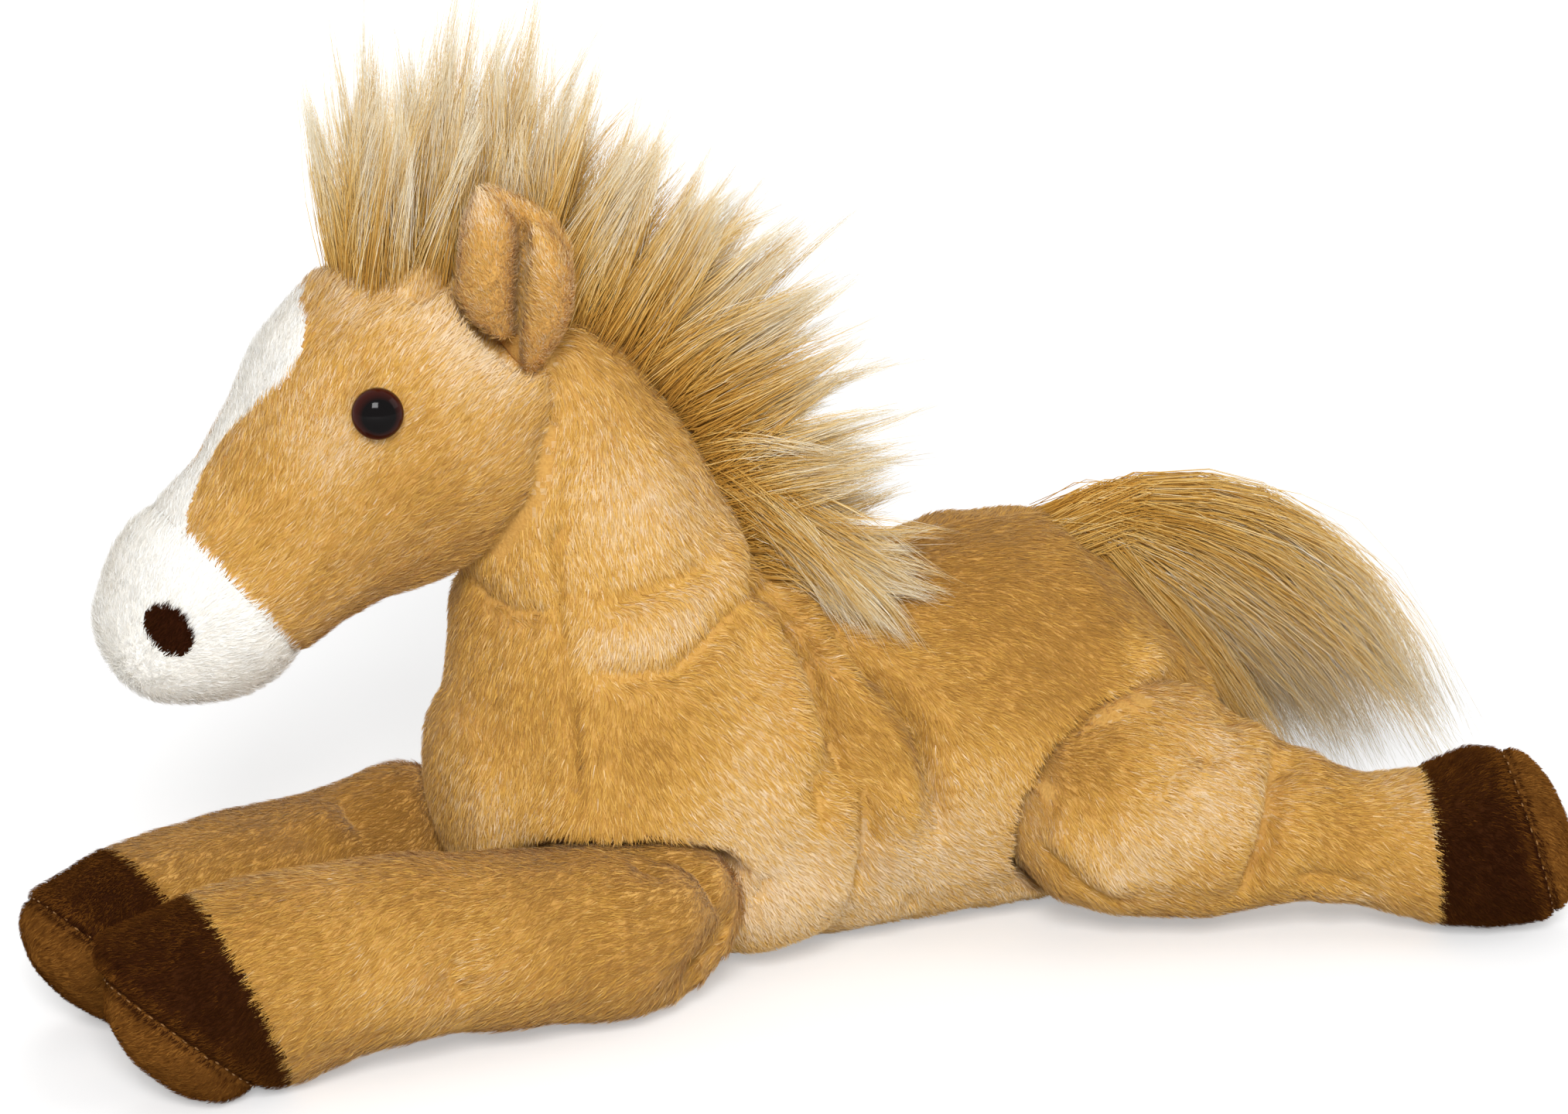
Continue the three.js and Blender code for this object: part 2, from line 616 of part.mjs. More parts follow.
// Tail: locks that leave the dock together and fan out as they fall.
const DOCK_SHARES = [0.785, 0.94]; // of the torso's length and height
const TAIL_ROOT_SHARE = 0.04; // of its length, how far the hair starts behind the fold at the dock
// Shares of the tail's length, drop, half width and root radius. Each lock arches over a bend point:
// [reach, fall, bend reach, bend fall, across, radius].
const TAIL_LOCK_SHARES = [
  [1.0, 0.86, 0.57, -0.22, 0.0, 1.0],
  [0.94, 0.78, 0.53, -0.2, 0.6, 0.9],
  [0.95, 0.96, 0.53, -0.18, -0.6, 1.0],
  [0.88, 0.98, 0.5, -0.16, 0.3, 1.1],
  [0.79, 0.96, 0.46, -0.12, -0.3, 1.1],
  [0.7, 0.95, 0.42, -0.08, 0.6, 1.1],
  [0.61, 0.9, 0.38, -0.05, -0.6, 1.1],
  [0.52, 0.82, 0.34, -0.01, 0.2, 1.0],
  [0.44, 0.68, 0.3, 0.04, -0.2, 0.9],
];

function dock() {
  return at(DOCK_SHARES[0] * TORSO_LENGTH - CHEST_REACH, 0, DOCK_SHARES[1] * TORSO_HEIGHT);
}

function tailLocks() {
  const root = dock().add(at(TAIL_ROOT_SHARE * TAIL_LENGTH, 0, 0));
  const placed = (reach, fall, across) =>
    dock().add(at(reach * TAIL_LENGTH, across * TAIL_HALF_WIDTH, -fall * TAIL_DROP));
  return TAIL_LOCK_SHARES.map(([reach, fall, bendReach, bendFall, across, radius]) =>
    lockSolid(root, placed(bendReach, bendFall, across), placed(reach, fall, across), radius * TAIL_ROOT_RADIUS, 1),
  ).reduce((sum, next) => sum.add(next));
}

// Legs, each in its own frame: +X runs from the pivot to the hoof.

// Shares of the leg's length and height, and of its half width: [top along, top up, bottom along, bottom up, half].
// The hoof lies between the last two sections.
const FORELEG_SHARES = [
  [0.0, 0.86, 0.0, -0.011, 1.0],
  [0.2, 0.9, 0.18, 0.05, 0.97],
  [0.44, 0.985, 0.4, 0.11, 1.0],
  [0.62, 1.0, 0.54, 0.09, 1.0],
  [0.79, 0.97, 0.65, -0.011, 1.02],
  [0.95, 0.82, 0.71, 0.01, 0.98],
];

// Shares of the leg's length, of the thigh's height or the hoof's, and of the way from the shank's half
// width to the thigh's: [top along, top up, bottom along, bottom up, half].
const THIGH_SHARES = [
  [0.0, 1.0, 0.0, 0.07, 1.0],
  [0.22, 0.93, 0.2, 0.06, 0.9],
  [0.4, 0.72, 0.42, 0.12, 0.25],
  [0.56, 0.62, 0.58, 0.09, 0.0],
];
const HIND_HOOF_SHARES = [
  [0.69, 0.875, 0.73, 0.014, 0.25],
  [0.8, 1.0, 0.85, -0.014, 0.5],
  [0.87, 0.985, 1.0, 0.055, 0.42],
];

function forelegSections(height) {
  return FORELEG_SHARES.map(([topAlong, topUp, bottomAlong, bottomUp, half]) => ({
    top: at(topAlong * FORELEG_LENGTH, 0, topUp * height),
    bottom: at(bottomAlong * FORELEG_LENGTH, 0, bottomUp * height),
    half: half * FORELEG_HALF_WIDTH,
    side: Y,
  }));
}

function hindlegSections(shares, height) {
  return shares.map(([topAlong, topUp, bottomAlong, bottomUp, half]) => ({
    top: at(topAlong * HINDLEG_LENGTH, 0, topUp * height),
    bottom: at(bottomAlong * HINDLEG_LENGTH, 0, bottomUp * height),
    half: THREE.MathUtils.lerp(SHANK_HALF_WIDTH, THIGH_HALF_WIDTH, half),
    side: Y,
  }));
}

// Cuts one leg's loft into the leg, the hoof and the sole, along the planes of two of its sections.
function legPieces(sections, hoofSection, rootDome, grow) {
  const whole = loft(sections, { sides: LEG_SIDES, startDome: rootDome, endDome: SOLE_BULGE, grow });
  const seam = (section) => {
    const up = section.top.clone().sub(section.bottom);
    const forward = new THREE.Vector3().crossVectors(Y, up).normalize();
    return { point: section.top.clone().lerp(section.bottom, 0.5), forward };
  };
  const hoofSeam = seam(hoofSection);
  const soleSeam = seam(sections.at(-1));
  const ahead = ({ point, forward }, gap) => halfSpace(point.clone().addScaledVector(forward, gap), forward);
  return {
    whole,
    leg: whole.subtract(ahead(hoofSeam, -SEAM_GAP / 2)),
    hoof: whole.intersect(ahead(hoofSeam, SEAM_GAP / 2)).subtract(ahead(soleSeam, -SEAM_GAP / 2)),
    sole: whole.intersect(ahead(soleSeam, SEAM_GAP / 2)),
  };
}

// Where a leg's own frame stands in the horse: its pivot on the floor, turned about +Z.
function forelegPlace(side) {
  const turn = 180 + (side === RIGHT ? FAR_FORELEG_TURN_DEGREES : 0);
  const pivot = at(side === RIGHT ? -FAR_SHOULDER_AHEAD : -SHOULDER_AHEAD, side * SHOULDER_OUT, 0);
  return { pivot, matrix: new THREE.Matrix4().makeRotationZ(radians(turn)).setPosition(pivot) };
}

function hindlegPlace(side) {
  const splay = side === RIGHT ? FAR_HINDLEG_SPLAY_DEGREES : HINDLEG_SPLAY_DEGREES;
  const pivot = at(HIP_BEHIND, side * HIP_OUT, 0);
  return { pivot, matrix: new THREE.Matrix4().makeRotationZ(radians(side * splay)).setPosition(pivot) };
}

function foreleg(side, grow) {
  const sections = forelegSections(side === RIGHT ? FAR_FORELEG_HEIGHT : FORELEG_HEIGHT);
  return legPieces(sections, sections.at(-2), FORELEG_HALF_WIDTH, grow);
}

function hindleg(grow) {
  const hoof = hindlegSections(HIND_HOOF_SHARES, HIND_HOOF_HEIGHT);
  return legPieces([...hindlegSections(THIGH_SHARES, THIGH_HEIGHT), ...hoof], hoof[0], THIGH_HALF_WIDTH, grow);
}

// Assembly.
const horse = new THREE.Group();

function pivotGroup(parent, point) {
  const group = new THREE.Group();
  group.position.copy(point);
  parent.add(group);
  group.updateMatrixWorld(true);
  return group;
}

// Adds a solid, which is given in the horse's frame, to a group as a named piece.
function addPiece(group, name, solid, material) {
  group.updateWorldMatrix(true, false);
  const local = moved(largest(solid), group.matrixWorld.clone().invert());
  const made = local.getMesh();
  const geometry = new THREE.BufferGeometry();
  geometry.setAttribute("position", new THREE.BufferAttribute(new Float32Array(made.vertProperties), 3));
  geometry.setIndex([...made.triVerts]);
  geometry.computeVertexNormals();
  const mesh = new THREE.Mesh(geometry, material);
  mesh.name = name;
  group.add(mesh);
}

// Legs first, because the torso is cut to fit them.
const legCuts = [];
for (const side of [LEFT, RIGHT]) {
  const fore = forelegPlace(side);
  const foreParts = foreleg(side, 0);
  const foreGroup = pivotGroup(horse, fore.pivot);
  const foreName = `foreleg_${SIDE_NAME[side]}`;
  addPiece(foreGroup, foreName, onFloor(moved(foreParts.leg, fore.matrix)), MATERIAL.tan);
  addPiece(foreGroup, `${foreName}_hoof`, onFloor(moved(foreParts.hoof, fore.matrix)), MATERIAL.darkBrown);
  addPiece(foreGroup, `${foreName}_sole`, onFloor(moved(foreParts.sole, fore.matrix)), MATERIAL.brown);
  const spread = side === RIGHT ? FAR_SHOULDER_OUT_DEGREES : SHOULDER_OUT_DEGREES;
  const foreWhole = moved(foreleg(side, TURN_GAP).whole, fore.matrix);
  legCuts.push(room(foreWhole, fore.pivot, Z, 0, -side * spread, SHOULDER_TURNS));

  const hind = hindlegPlace(side);
  const hindParts = hindleg(0);
  const hindGroup = pivotGroup(horse, hind.pivot);
  const hindName = `hindleg_${SIDE_NAME[side]}`;
  addPiece(hindGroup, hindName, onFloor(moved(hindParts.leg, hind.matrix)), MATERIAL.tan);
  addPiece(hindGroup, `${hindName}_hoof`, onFloor(moved(hindParts.hoof, hind.matrix)), MATERIAL.darkBrown);
  addPiece(hindGroup, `${hindName}_sole`, onFloor(moved(hindParts.sole, hind.matrix)), MATERIAL.brown);
  const hindWhole = moved(hindleg(TURN_GAP).whole, hind.matrix);
  legCuts.push(room(hindWhole, hind.pivot, Z, side * -HIP_IN_DEGREES, side * HIP_OUT_DEGREES, HIP_TURNS));
}

// The pouch lies in the belly, over the closing seam.
function pouchSolid(grow) {
  const oval = new THREE.SphereGeometry(1, LEG_SIDES, POUCH_RINGS);
  oval.scale(POUCH_LENGTH / 2 + grow, POUCH_WIDTH / 2 + grow, POUCH_THICKNESS / 2 + grow);
  return solidOf(oval.translate(POUCH_AHEAD, 0, POUCH_LIFT + POUCH_THICKNESS / 2));
}
const closingSlit = solidOf(
  new THREE.BoxGeometry(CLOSING_SLIT_LENGTH, CLOSING_SLIT_WIDTH, POUCH_LIFT + POUCH_THICKNESS).translate(
    POUCH_AHEAD,
    0,
    0,
  ),
);

const tailRoot = tailLocks();
let torso = onFloor(torsoLoft(0));
for (const cut of legCuts) {
  torso = torso.subtract(cut);
}
torso = torso.subtract(pouchSolid(POUCH_CLEARANCE)).subtract(closingSlit);
addPiece(horse, "torso", torso, MATERIAL.tan);
addPiece(horse, "pellet_pouch", pouchSolid(0), MATERIAL.pouch);

const neck = legCuts.reduce((left, cut) => left.subtract(cut), neckLoft(0).subtract(torsoLoft(SEAM_GAP)));
addPiece(horse, "neck", neck, MATERIAL.tan);

const maneCrest = maneLocks(CREST_SHARES, CREST_LOCKS)
  .subtract(neckLoft(SEAM_GAP))
  .subtract(torsoLoft(SEAM_GAP))
  .subtract(room(headLoft(TURN_GAP), NOD_PIVOT, Y, -NOD_DEGREES, NOD_DEGREES, NOD_TURNS));
addPiece(horse, "mane_crest", maneCrest, MATERIAL.cream);

const tailGroup = pivotGroup(horse, dock());
const tail = tailRoot.subtract(torsoLoft(SEAM_GAP));
addPiece(tailGroup, "tail", tail, MATERIAL.cream);

const headGroup = pivotGroup(horse, NOD_PIVOT);
const neckRoom = room(neckLoft(TURN_GAP), NOD_PIVOT, Y, -NOD_DEGREES, NOD_DEGREES, NOD_TURNS);
const { point: seamPoint, forward: seamForward } = muzzleSeam();
const aheadOfSeam = (gap) => halfSpace(seamPoint.clone().addScaledVector(seamForward, gap), seamForward);
const core = headLoft(-PANEL_THICKNESS);
const blazeRecess = blazePrism(SEAM_GAP).subtract(headLoft(-PANEL_THICKNESS - SEAM_GAP));

let face = headLoft(0).subtract(neckRoom).subtract(aheadOfSeam(-SEAM_GAP / 2)).subtract(blazeRecess);
let muzzle = headLoft(0).intersect(aheadOfSeam(SEAM_GAP / 2));
for (const side of [LEFT, RIGHT]) {
  face = face.subtract(moved(eyeCut(), eyePlace(side)));
  const [foldIn, foldOut] = [side * EAR_IN_DEGREES, -side * EAR_OUT_DEGREES];
  face = face.subtract(room(earLoft(side, TURN_GAP), earPivot(side), X, foldIn, foldOut, EAR_TURNS));
  muzzle = muzzle.subtract(nostrilPrism(side, SEAM_GAP).subtract(headLoft(-PANEL_THICKNESS - SEAM_GAP)));
}
addPiece(headGroup, "head", face, MATERIAL.tan);
addPiece(headGroup, "muzzle", muzzle, MATERIAL.white);
addPiece(
  headGroup,
  "blaze_panel",
  headLoft(0).intersect(blazePrism(0)).subtract(core).subtract(aheadOfSeam(-SEAM_GAP / 2)),
  MATERIAL.white,
);

const forelock = maneLocks(FORELOCK_SHARES, FORELOCK_LOCKS).subtract(headLoft(SEAM_GAP));
addPiece(headGroup, "mane_forelock", forelock, MATERIAL.cream);

for (const side of [LEFT, RIGHT]) {
  const name = SIDE_NAME[side];
  addPiece(headGroup, `eye_${name}`, moved(eyeSolid(), eyePlace(side)), MATERIAL.eye);
  const washer = ringSolid(SHANK_RADIUS + EYE_CLEARANCE, WASHER_RADIUS, -WASHER_DEPTH - WASHER_THICKNESS, -WASHER_DEPTH);
  addPiece(headGroup, `eye_washer_${name}`, moved(washer, eyePlace(side)), MATERIAL.washer);
  const patch = headLoft(0).intersect(nostrilPrism(side, 0)).subtract(core);
  addPiece(headGroup, `nostril_${name}`, patch, MATERIAL.darkBrown);
  const earGroup = pivotGroup(headGroup, earPivot(side).sub(NOD_PIVOT));
  addPiece(earGroup, `ear_${name}`, earLoft(side, 0).subtract(earSlit(side)), MATERIAL.tan);
}

export default horse;
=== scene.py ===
"""A stuffed plush horse lying on its belly, dressed over the frame's solids.

Metres, +Z up. The horse faces -X and its left side is -Y. Each stuffed piece gets a smooth skin, made from
copies of its solids, with the folds and seams of the real one. Each skin carries a coat of short pile: thin
tapered blades that lie along the nap. The mane, the forelock and the tail are locks of long hair.
"""

import json
import math

import bmesh
import bpy
import numpy as np
from mathutils import Matrix, Vector
from mathutils.bvhtree import BVHTree


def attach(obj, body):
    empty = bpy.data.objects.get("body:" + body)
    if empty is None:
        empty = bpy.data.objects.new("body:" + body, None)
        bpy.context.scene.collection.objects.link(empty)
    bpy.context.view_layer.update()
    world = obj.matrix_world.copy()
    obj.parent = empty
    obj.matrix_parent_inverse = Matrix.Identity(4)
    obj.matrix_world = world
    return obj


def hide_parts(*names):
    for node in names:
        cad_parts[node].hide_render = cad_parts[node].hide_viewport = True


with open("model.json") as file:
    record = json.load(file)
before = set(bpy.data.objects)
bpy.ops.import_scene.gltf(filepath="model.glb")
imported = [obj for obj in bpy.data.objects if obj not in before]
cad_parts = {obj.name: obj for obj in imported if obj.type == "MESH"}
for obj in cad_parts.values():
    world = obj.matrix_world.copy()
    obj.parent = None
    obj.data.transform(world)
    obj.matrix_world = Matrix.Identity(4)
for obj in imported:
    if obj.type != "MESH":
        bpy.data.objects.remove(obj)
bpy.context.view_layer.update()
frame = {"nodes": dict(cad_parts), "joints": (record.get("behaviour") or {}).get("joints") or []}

MM = 0.001
SEED = 5
LEFT, RIGHT = -1, 1
SIDE_NAME = {LEFT: "left", RIGHT: "right"}
SIDES = (LEFT, RIGHT)

# Camera. The photograph is taken as 2027 by 1440 pixels.
IMAGE_WIDTH = 2027
IMAGE_HEIGHT = 1440
SENSOR_WIDTH = 36.0  # millimetres, as the lens is
LENS = 110.0
CAMERA_TURN = math.radians(24)
CAMERA_RISE = math.radians(18)
CAMERA_DISTANCE = 965 * MM
CAMERA_TARGET = Vector((0, 0, 80.7)) * MM
CLIP_START = 0.05
CLIP_END = 20


def make_camera():
    """The camera, at the photograph's viewing angle."""
    level = math.cos(CAMERA_RISE)
    back = Vector((-math.sin(CAMERA_TURN) * level, -math.cos(CAMERA_TURN) * level, math.sin(CAMERA_RISE)))
    camera = bpy.data.objects.new("camera", bpy.data.cameras.new("camera"))
    camera.data.sensor_width = SENSOR_WIDTH
    camera.data.lens = LENS
    camera.data.clip_start = CLIP_START
    camera.data.clip_end = CLIP_END
    camera.location = CAMERA_TARGET + back * CAMERA_DISTANCE
    camera.rotation_mode = "QUATERNION"
    camera.rotation_quaternion = (-back).to_track_quat("-Z", "Y")
    bpy.context.scene.collection.objects.link(camera)
    bpy.context.scene.camera = camera
    return camera


camera = make_camera()


def camera_ray(pixel):
    """Where the line of sight through a pixel of the photograph starts, and its direction."""
    scale = SENSOR_WIDTH / LENS / IMAGE_WIDTH
    across = (pixel[0] - IMAGE_WIDTH / 2) * scale
    above = (IMAGE_HEIGHT / 2 - pixel[1]) * scale
    direction = camera.rotation_quaternion @ Vector((across, above, -1))
    return camera.location.copy(), direction.normalized()


# Numbers in space.


WAVE_COUNT = 10


def waves(points, size, seed):
    """A smooth random field of about -1 to 1 at some points, with bumps of about this size."""
    rng = np.random.default_rng([SEED, seed])
    directions = rng.normal(size=(WAVE_COUNT, 3))
    directions /= np.linalg.norm(directions, axis=1)[:, None]
    directions *= rng.uniform(0.6, 1.5, WAVE_COUNT)[:, None] * (math.tau / size)
    phases = rng.uniform(0, math.tau, WAVE_COUNT)
    return np.sin(points @ directions.T + phases).sum(1) * math.sqrt(0.5 / WAVE_COUNT)


def unit(vectors):
    """Vectors made one long, row by row."""
    return vectors / np.maximum(np.linalg.norm(vectors, axis=-1), 1e-12)[..., None]


def ramp(values, low, high):
    """A smooth step from 0 at low to 1 at high."""
    share = np.clip((values - low) / (high - low), 0, 1)
    return share * share * (3 - 2 * share)


def lerp(low, high, share):
    """The value that lies a share of the way from low to high."""
    return low + (high - low) * share


def in_frame(points):
    """Points in millimetres, as an array in metres."""
    return np.array(points, float) * MM


def past(points, plane):
    """How far points lie past a plane: a point on it, and its normal."""
    return (points - np.array(plane[0])) @ np.array(plane[1])


def on_near_side(points):
    """Points with those of the far side mirrored to the near one."""
    return np.stack([points[:, 0], -np.abs(points[:, 1]), points[:, 2]], axis=1)


def mottle(points, base, amount, size, seed):
    """A tone that varies slowly over space."""
    return base + amount * waves(points, size, seed)


# Meshes.


def read(items, kind, count, number=float):
    """One property of all of a mesh's items, as an array with a row for each."""
    flat = np.empty(len(items) * count, number)
    items.foreach_get(kind, flat)
    return flat.reshape(-1, count)


def coords(obj):
    """An object's points, as an array."""
    return read(obj.data.vertices, "co", 3)


def point_normals(obj):
    """An object's normals at its points, as an array."""
    return read(obj.data.vertex_normals, "vector", 3)


def set_coords(obj, points):
    """Moves an object's points."""
    obj.data.vertices.foreach_set("co", np.ascontiguousarray(points, dtype=np.float32).ravel())
    obj.data.update()


def push_out(obj, heights):
    """Moves an object's points out along its normals."""
    set_coords(obj, coords(obj) + point_normals(obj) * heights[:, None])


def link(name, mesh):
    """A new object in the scene that shows a mesh."""
    obj = bpy.data.objects.new(name, mesh)
    bpy.context.scene.collection.objects.link(obj)
    return obj


def shade_smooth(mesh):
    """Smooth shading on every face."""
    mesh.polygons.foreach_set("use_smooth", np.ones(len(mesh.polygons), bool))


def mesh_from(name, points, corners, sizes, materials):
    """A mesh from arrays: its points, its faces' corners in one row, and how many corners each face has."""
    mesh = bpy.data.meshes.new(name)
    mesh.vertices.add(len(points))
    mesh.vertices.foreach_set("co", np.ascontiguousarray(points, dtype=np.float32).ravel())
    mesh.loops.add(len(corners))
    mesh.loops.foreach_set("vertex_index", np.ascontiguousarray(corners, dtype=np.int32))
    mesh.polygons.add(len(sizes))
    starts = np.concatenate([[0], np.cumsum(sizes)[:-1]]).astype(np.int32)
    mesh.polygons.foreach_set("loop_start", starts)
    mesh.polygons.foreach_set("material_index", np.ascontiguousarray(materials, dtype=np.int32))
    mesh.update(calc_edges=True)
    shade_smooth(mesh)
    return mesh


def from_bmesh(name, made):
    """A new object from a bmesh, which is freed."""
    mesh = bpy.data.meshes.new(name)
    made.to_mesh(mesh)
    made.free()
    shade_smooth(mesh)
    return link(name, mesh)


def settle(obj):
    """Applies an object's modifiers."""
    bpy.context.view_layer.update()
    evaluated = obj.evaluated_get(bpy.context.evaluated_depsgraph_get())
    mesh = bpy.data.meshes.new_from_object(evaluated)
    obj.modifiers.clear()
    obj.data = mesh
    shade_smooth(mesh)
    return obj


def tree_of(obj):
    """An object's faces, to find the nearest of them or what a line of sight meets."""
    vertices = [v.co for v in obj.data.vertices]
    return BVHTree.FromPolygons(vertices, [tuple(p.vertices) for p in obj.data.polygons])


# Materials.


def linear(red, green, blue):
    """A colour as it is seen, 0 to 255 a channel, as the shader's own numbers."""
    channels = [c / 255 for c in (red, green, blue)]
    return tuple(c / 12.92 if c <= 0.04045 else ((c + 0.055) / 1.055) ** 2.4 for c in channels) + (1.0,)


WARM_WHITE = (255, 238, 208)
WARM_BROWN = (178, 112, 46)


def new_material(name, roughness, specular, sheen=0.0, sheen_colour=WARM_WHITE):
    """A node material, with its node tree and its shader."""
    material = bpy.data.materials.new(name)
    material.use_nodes = True
    tree = material.node_tree
    shader = tree.nodes["Principled BSDF"]
    shader.inputs["Roughness"].default_value = roughness
    shader.inputs["Sheen Weight"].default_value = sheen
    shader.inputs["Sheen Tint"].default_value = linear(*sheen_colour)
    shader.inputs["Specular IOR Level"].default_value = specular
    return material, tree, shader


def add_node(tree, kind, inputs=(), **settings):
    """A new shader node. Each input is (its name or number, a value or another node's output)."""
    node = tree.nodes.new(kind)
    for setting, value in settings.items():
        setattr(node, setting, value)
    for place, value in inputs:
        if isinstance(value, bpy.types.NodeSocket):
            tree.links.new(value, node.inputs[place])
        else:
            node.inputs[place].default_value = value
    return node


def colour_between(tree, share, low, high):
    """A colour that runs between two stops, each (share, colour)."""
    node = add_node(tree, "ShaderNodeValToRGB", [("Fac", share)])
    for stop, (position, colour) in zip(node.color_ramp.elements, (low, high)):
        stop.position = position
        stop.color = linear(*colour)
    return node.outputs["Color"]


CLOTH_ROUGHNESS = 0.95
CLOTH_SHEEN = 0.15
CLOTH_GRAIN = 0.6 * MM
GRAIN_SHARE = 0.4
GRAIN_BUMP = 0.6


def cloth_material(name, deep, pale, patch_size, sheen_colour=WARM_WHITE):
    """Plush backing: broad patches of two colours, a fine grain and a bump of the same grain."""
    material, tree, shader = new_material(name, CLOTH_ROUGHNESS, 0.0, CLOTH_SHEEN, sheen_colour)
    place = ("Vector", add_node(tree, "ShaderNodeTexCoord").outputs["Object"])
    patches, grain = (
        add_node(tree, "ShaderNodeTexNoise", [place, ("Scale", 1 / size), ("Detail", detail)]).outputs["Fac"]
        for size, detail in ((patch_size, 3), (CLOTH_GRAIN, 2))
    )
    share = add_node(tree, "ShaderNodeMix", [("Factor", GRAIN_SHARE), ("A", patches), ("B", grain)])
    colour = colour_between(tree, share.outputs["Result"], (0.3, deep), (0.7, pale))
    tree.links.new(colour, shader.inputs["Base Color"])
    sizes = [("Strength", GRAIN_BUMP), ("Distance", CLOTH_GRAIN), ("Height", grain)]
    tree.links.new(add_node(tree, "ShaderNodeBump", sizes).outputs["Normal"], shader.inputs["Normal"])
    return material


def fibre_materials(name, colours, roughness=0.75, sheen=0.3, specular=0.2, sheen_colour=WARM_WHITE):
    """One dyed fibre for each colour."""
    made = []
    for number, colour in enumerate(colours, 1):
        material, _, shader = new_material(f"{name}_{number}", roughness, specular, sheen, sheen_colour)
        shader.inputs["Base Color"].default_value = linear(*colour)
        made.append(material)
    return made


BROAD_PATCH = 24 * MM
MUZZLE_PATCH = 18 * MM
HOOF_PATCH = 12 * MM
SOLE_PATCH = 10 * MM
TAN_BACKING = cloth_material("tan_backing", (196, 144, 72), (222, 176, 100), BROAD_PATCH)
PALE_BACKING = cloth_material("pale_backing", (208, 166, 106), (226, 192, 142), BROAD_PATCH)
WHITE_BACKING = cloth_material("white_backing", (246, 242, 234), (254, 252, 248), MUZZLE_PATCH)
DARK_BACKING = cloth_material("dark_backing", (42, 20, 10), (66, 36, 16), HOOF_PATCH, WARM_BROWN)
SOLE_BACKING = cloth_material("sole_backing", (92, 56, 22), (124, 80, 34), SOLE_PATCH, WARM_BROWN)

TAN_FIBRES = fibre_materials(
    "tan_fibre",
    [(176, 127, 53), (197, 147, 64), (213, 165, 77), (224, 180, 102), (230, 197, 141), (237, 212, 174)],
)
WHITE_FIBRES = fibre_materials("white_fibre", [(248, 243, 234), (254, 252, 247), (255, 255, 253)])
BROWN_LOOK = {"roughness": 1.0, "specular": 0.0, "sheen_colour": WARM_BROWN}
NOSTRIL_FIBRES = fibre_materials("nostril_fibre", [(46, 20, 12), (62, 30, 17)], sheen=0.2, **BROWN_LOOK)
DARK_FIBRES = fibre_materials(
    "dark_fibre", [(44, 20, 9), (58, 29, 12), (80, 46, 16), (108, 66, 24)], sheen=0.55, **BROWN_LOOK,
)
SOLE_FIBRES = fibre_materials(
    "sole_fibre", [(60, 32, 12), (98, 60, 22), (120, 76, 30), (142, 94, 40)], sheen=0.4, **BROWN_LOOK,
)
HAIR_FIBRES = fibre_materials(
    "hair_fibre",
    [(198, 145, 60), (212, 163, 78), (224, 181, 100), (234, 199, 130), (243, 218, 166), (251, 240, 214)],
    roughness=0.6,
    sheen=0.1,
    specular=0.08,
)


# Skins.

SKIN_INSET = 0.9 * MM  # the pile fills what the skin gives up
SMOOTHING_STEP = 0.5


def keep_largest(obj):
    """Deletes all but the part of a mesh that has the most points."""
    made = bmesh.new()
    made.from_mesh(obj.data)
    made.verts.ensure_lookup_table()
    unseen = set(made.verts)
    parts = []
    while unseen:
        start = unseen.pop()
        part = [start]
        for vertex in part:
            for edge in vertex.link_edges:
                other = edge.other_vert(vertex)
                if other in unseen:
                    unseen.discard(other)
                    part.append(other)
        parts.append(part)
    parts.sort(key=len)
    for part in parts[:-1]:
        bmesh.ops.delete(made, geom=part, context="VERTS")
    made.to_mesh(obj.data)
    made.free()


def remesh(obj, voxel, smoothing, inset):
    """Makes one even, smooth skin of an object's solids, set a little inside them."""
    cells = obj.modifiers.new("cells", "REMESH")
    cells.mode = "VOXEL"
    cells.voxel_size = voxel
    smooth = obj.modifiers.new("smooth", "SMOOTH")
    smooth.factor = SMOOTHING_STEP
    smooth.iterations = smoothing
    sink = obj.modifiers.new("sink", "DISPLACE")
    sink.strength = -inset
    sink.mid_level = 0
    settle(obj)
    keep_largest(obj)
    return obj


def skin_of(name, nodes, voxel, smoothing, fillers=()):
    """One smooth skin over some solids. Fillers are rounded lumps, (middle, radii), that fill a hollow."""
    made = bmesh.new()
    for node in nodes:
        made.from_mesh(frame["nodes"][node].data)
    for middle, radii in fillers:
        place = Matrix.Translation(middle) @ Matrix.Diagonal((*radii, 1))
        bmesh.ops.create_icosphere(made, subdivisions=4, radius=1, matrix=place)
    return remesh(from_bmesh(name, made), voxel, smoothing, SKIN_INSET)


def lumps(obj, height, size, seed):
    """Gives a skin the slow unevenness of soft filling."""
    push_out(obj, waves(coords(obj), size, seed) * height)


# Folds. Each is a line of pixels of the photograph, which is laid on the skin that is seen there.


def along_line(points, step):
    """Points at even steps along a line through some points."""
    points = np.array(points, float)
    lengths = np.concatenate([[0], np.cumsum(np.linalg.norm(np.diff(points, axis=0), axis=1))])
    count = max(2, int(lengths[-1] / step) + 1)
    even = np.linspace(0, lengths[-1], count)
    return np.stack([np.interp(even, lengths, points[:, k]) for k in range(points.shape[1])], axis=1)


def seen_at(tree, pixel):
    """The point of a skin that lies under a pixel, or None."""
    return tree.ray_cast(*camera_ray(pixel))[0]


def on_skin(tree, pixels, step=4):
    """The points of a skin that lie under a line of pixels."""
    found = [seen_at(tree, pixel) for pixel in along_line(pixels, step)]
    return np.array([point for point in found if point is not None])


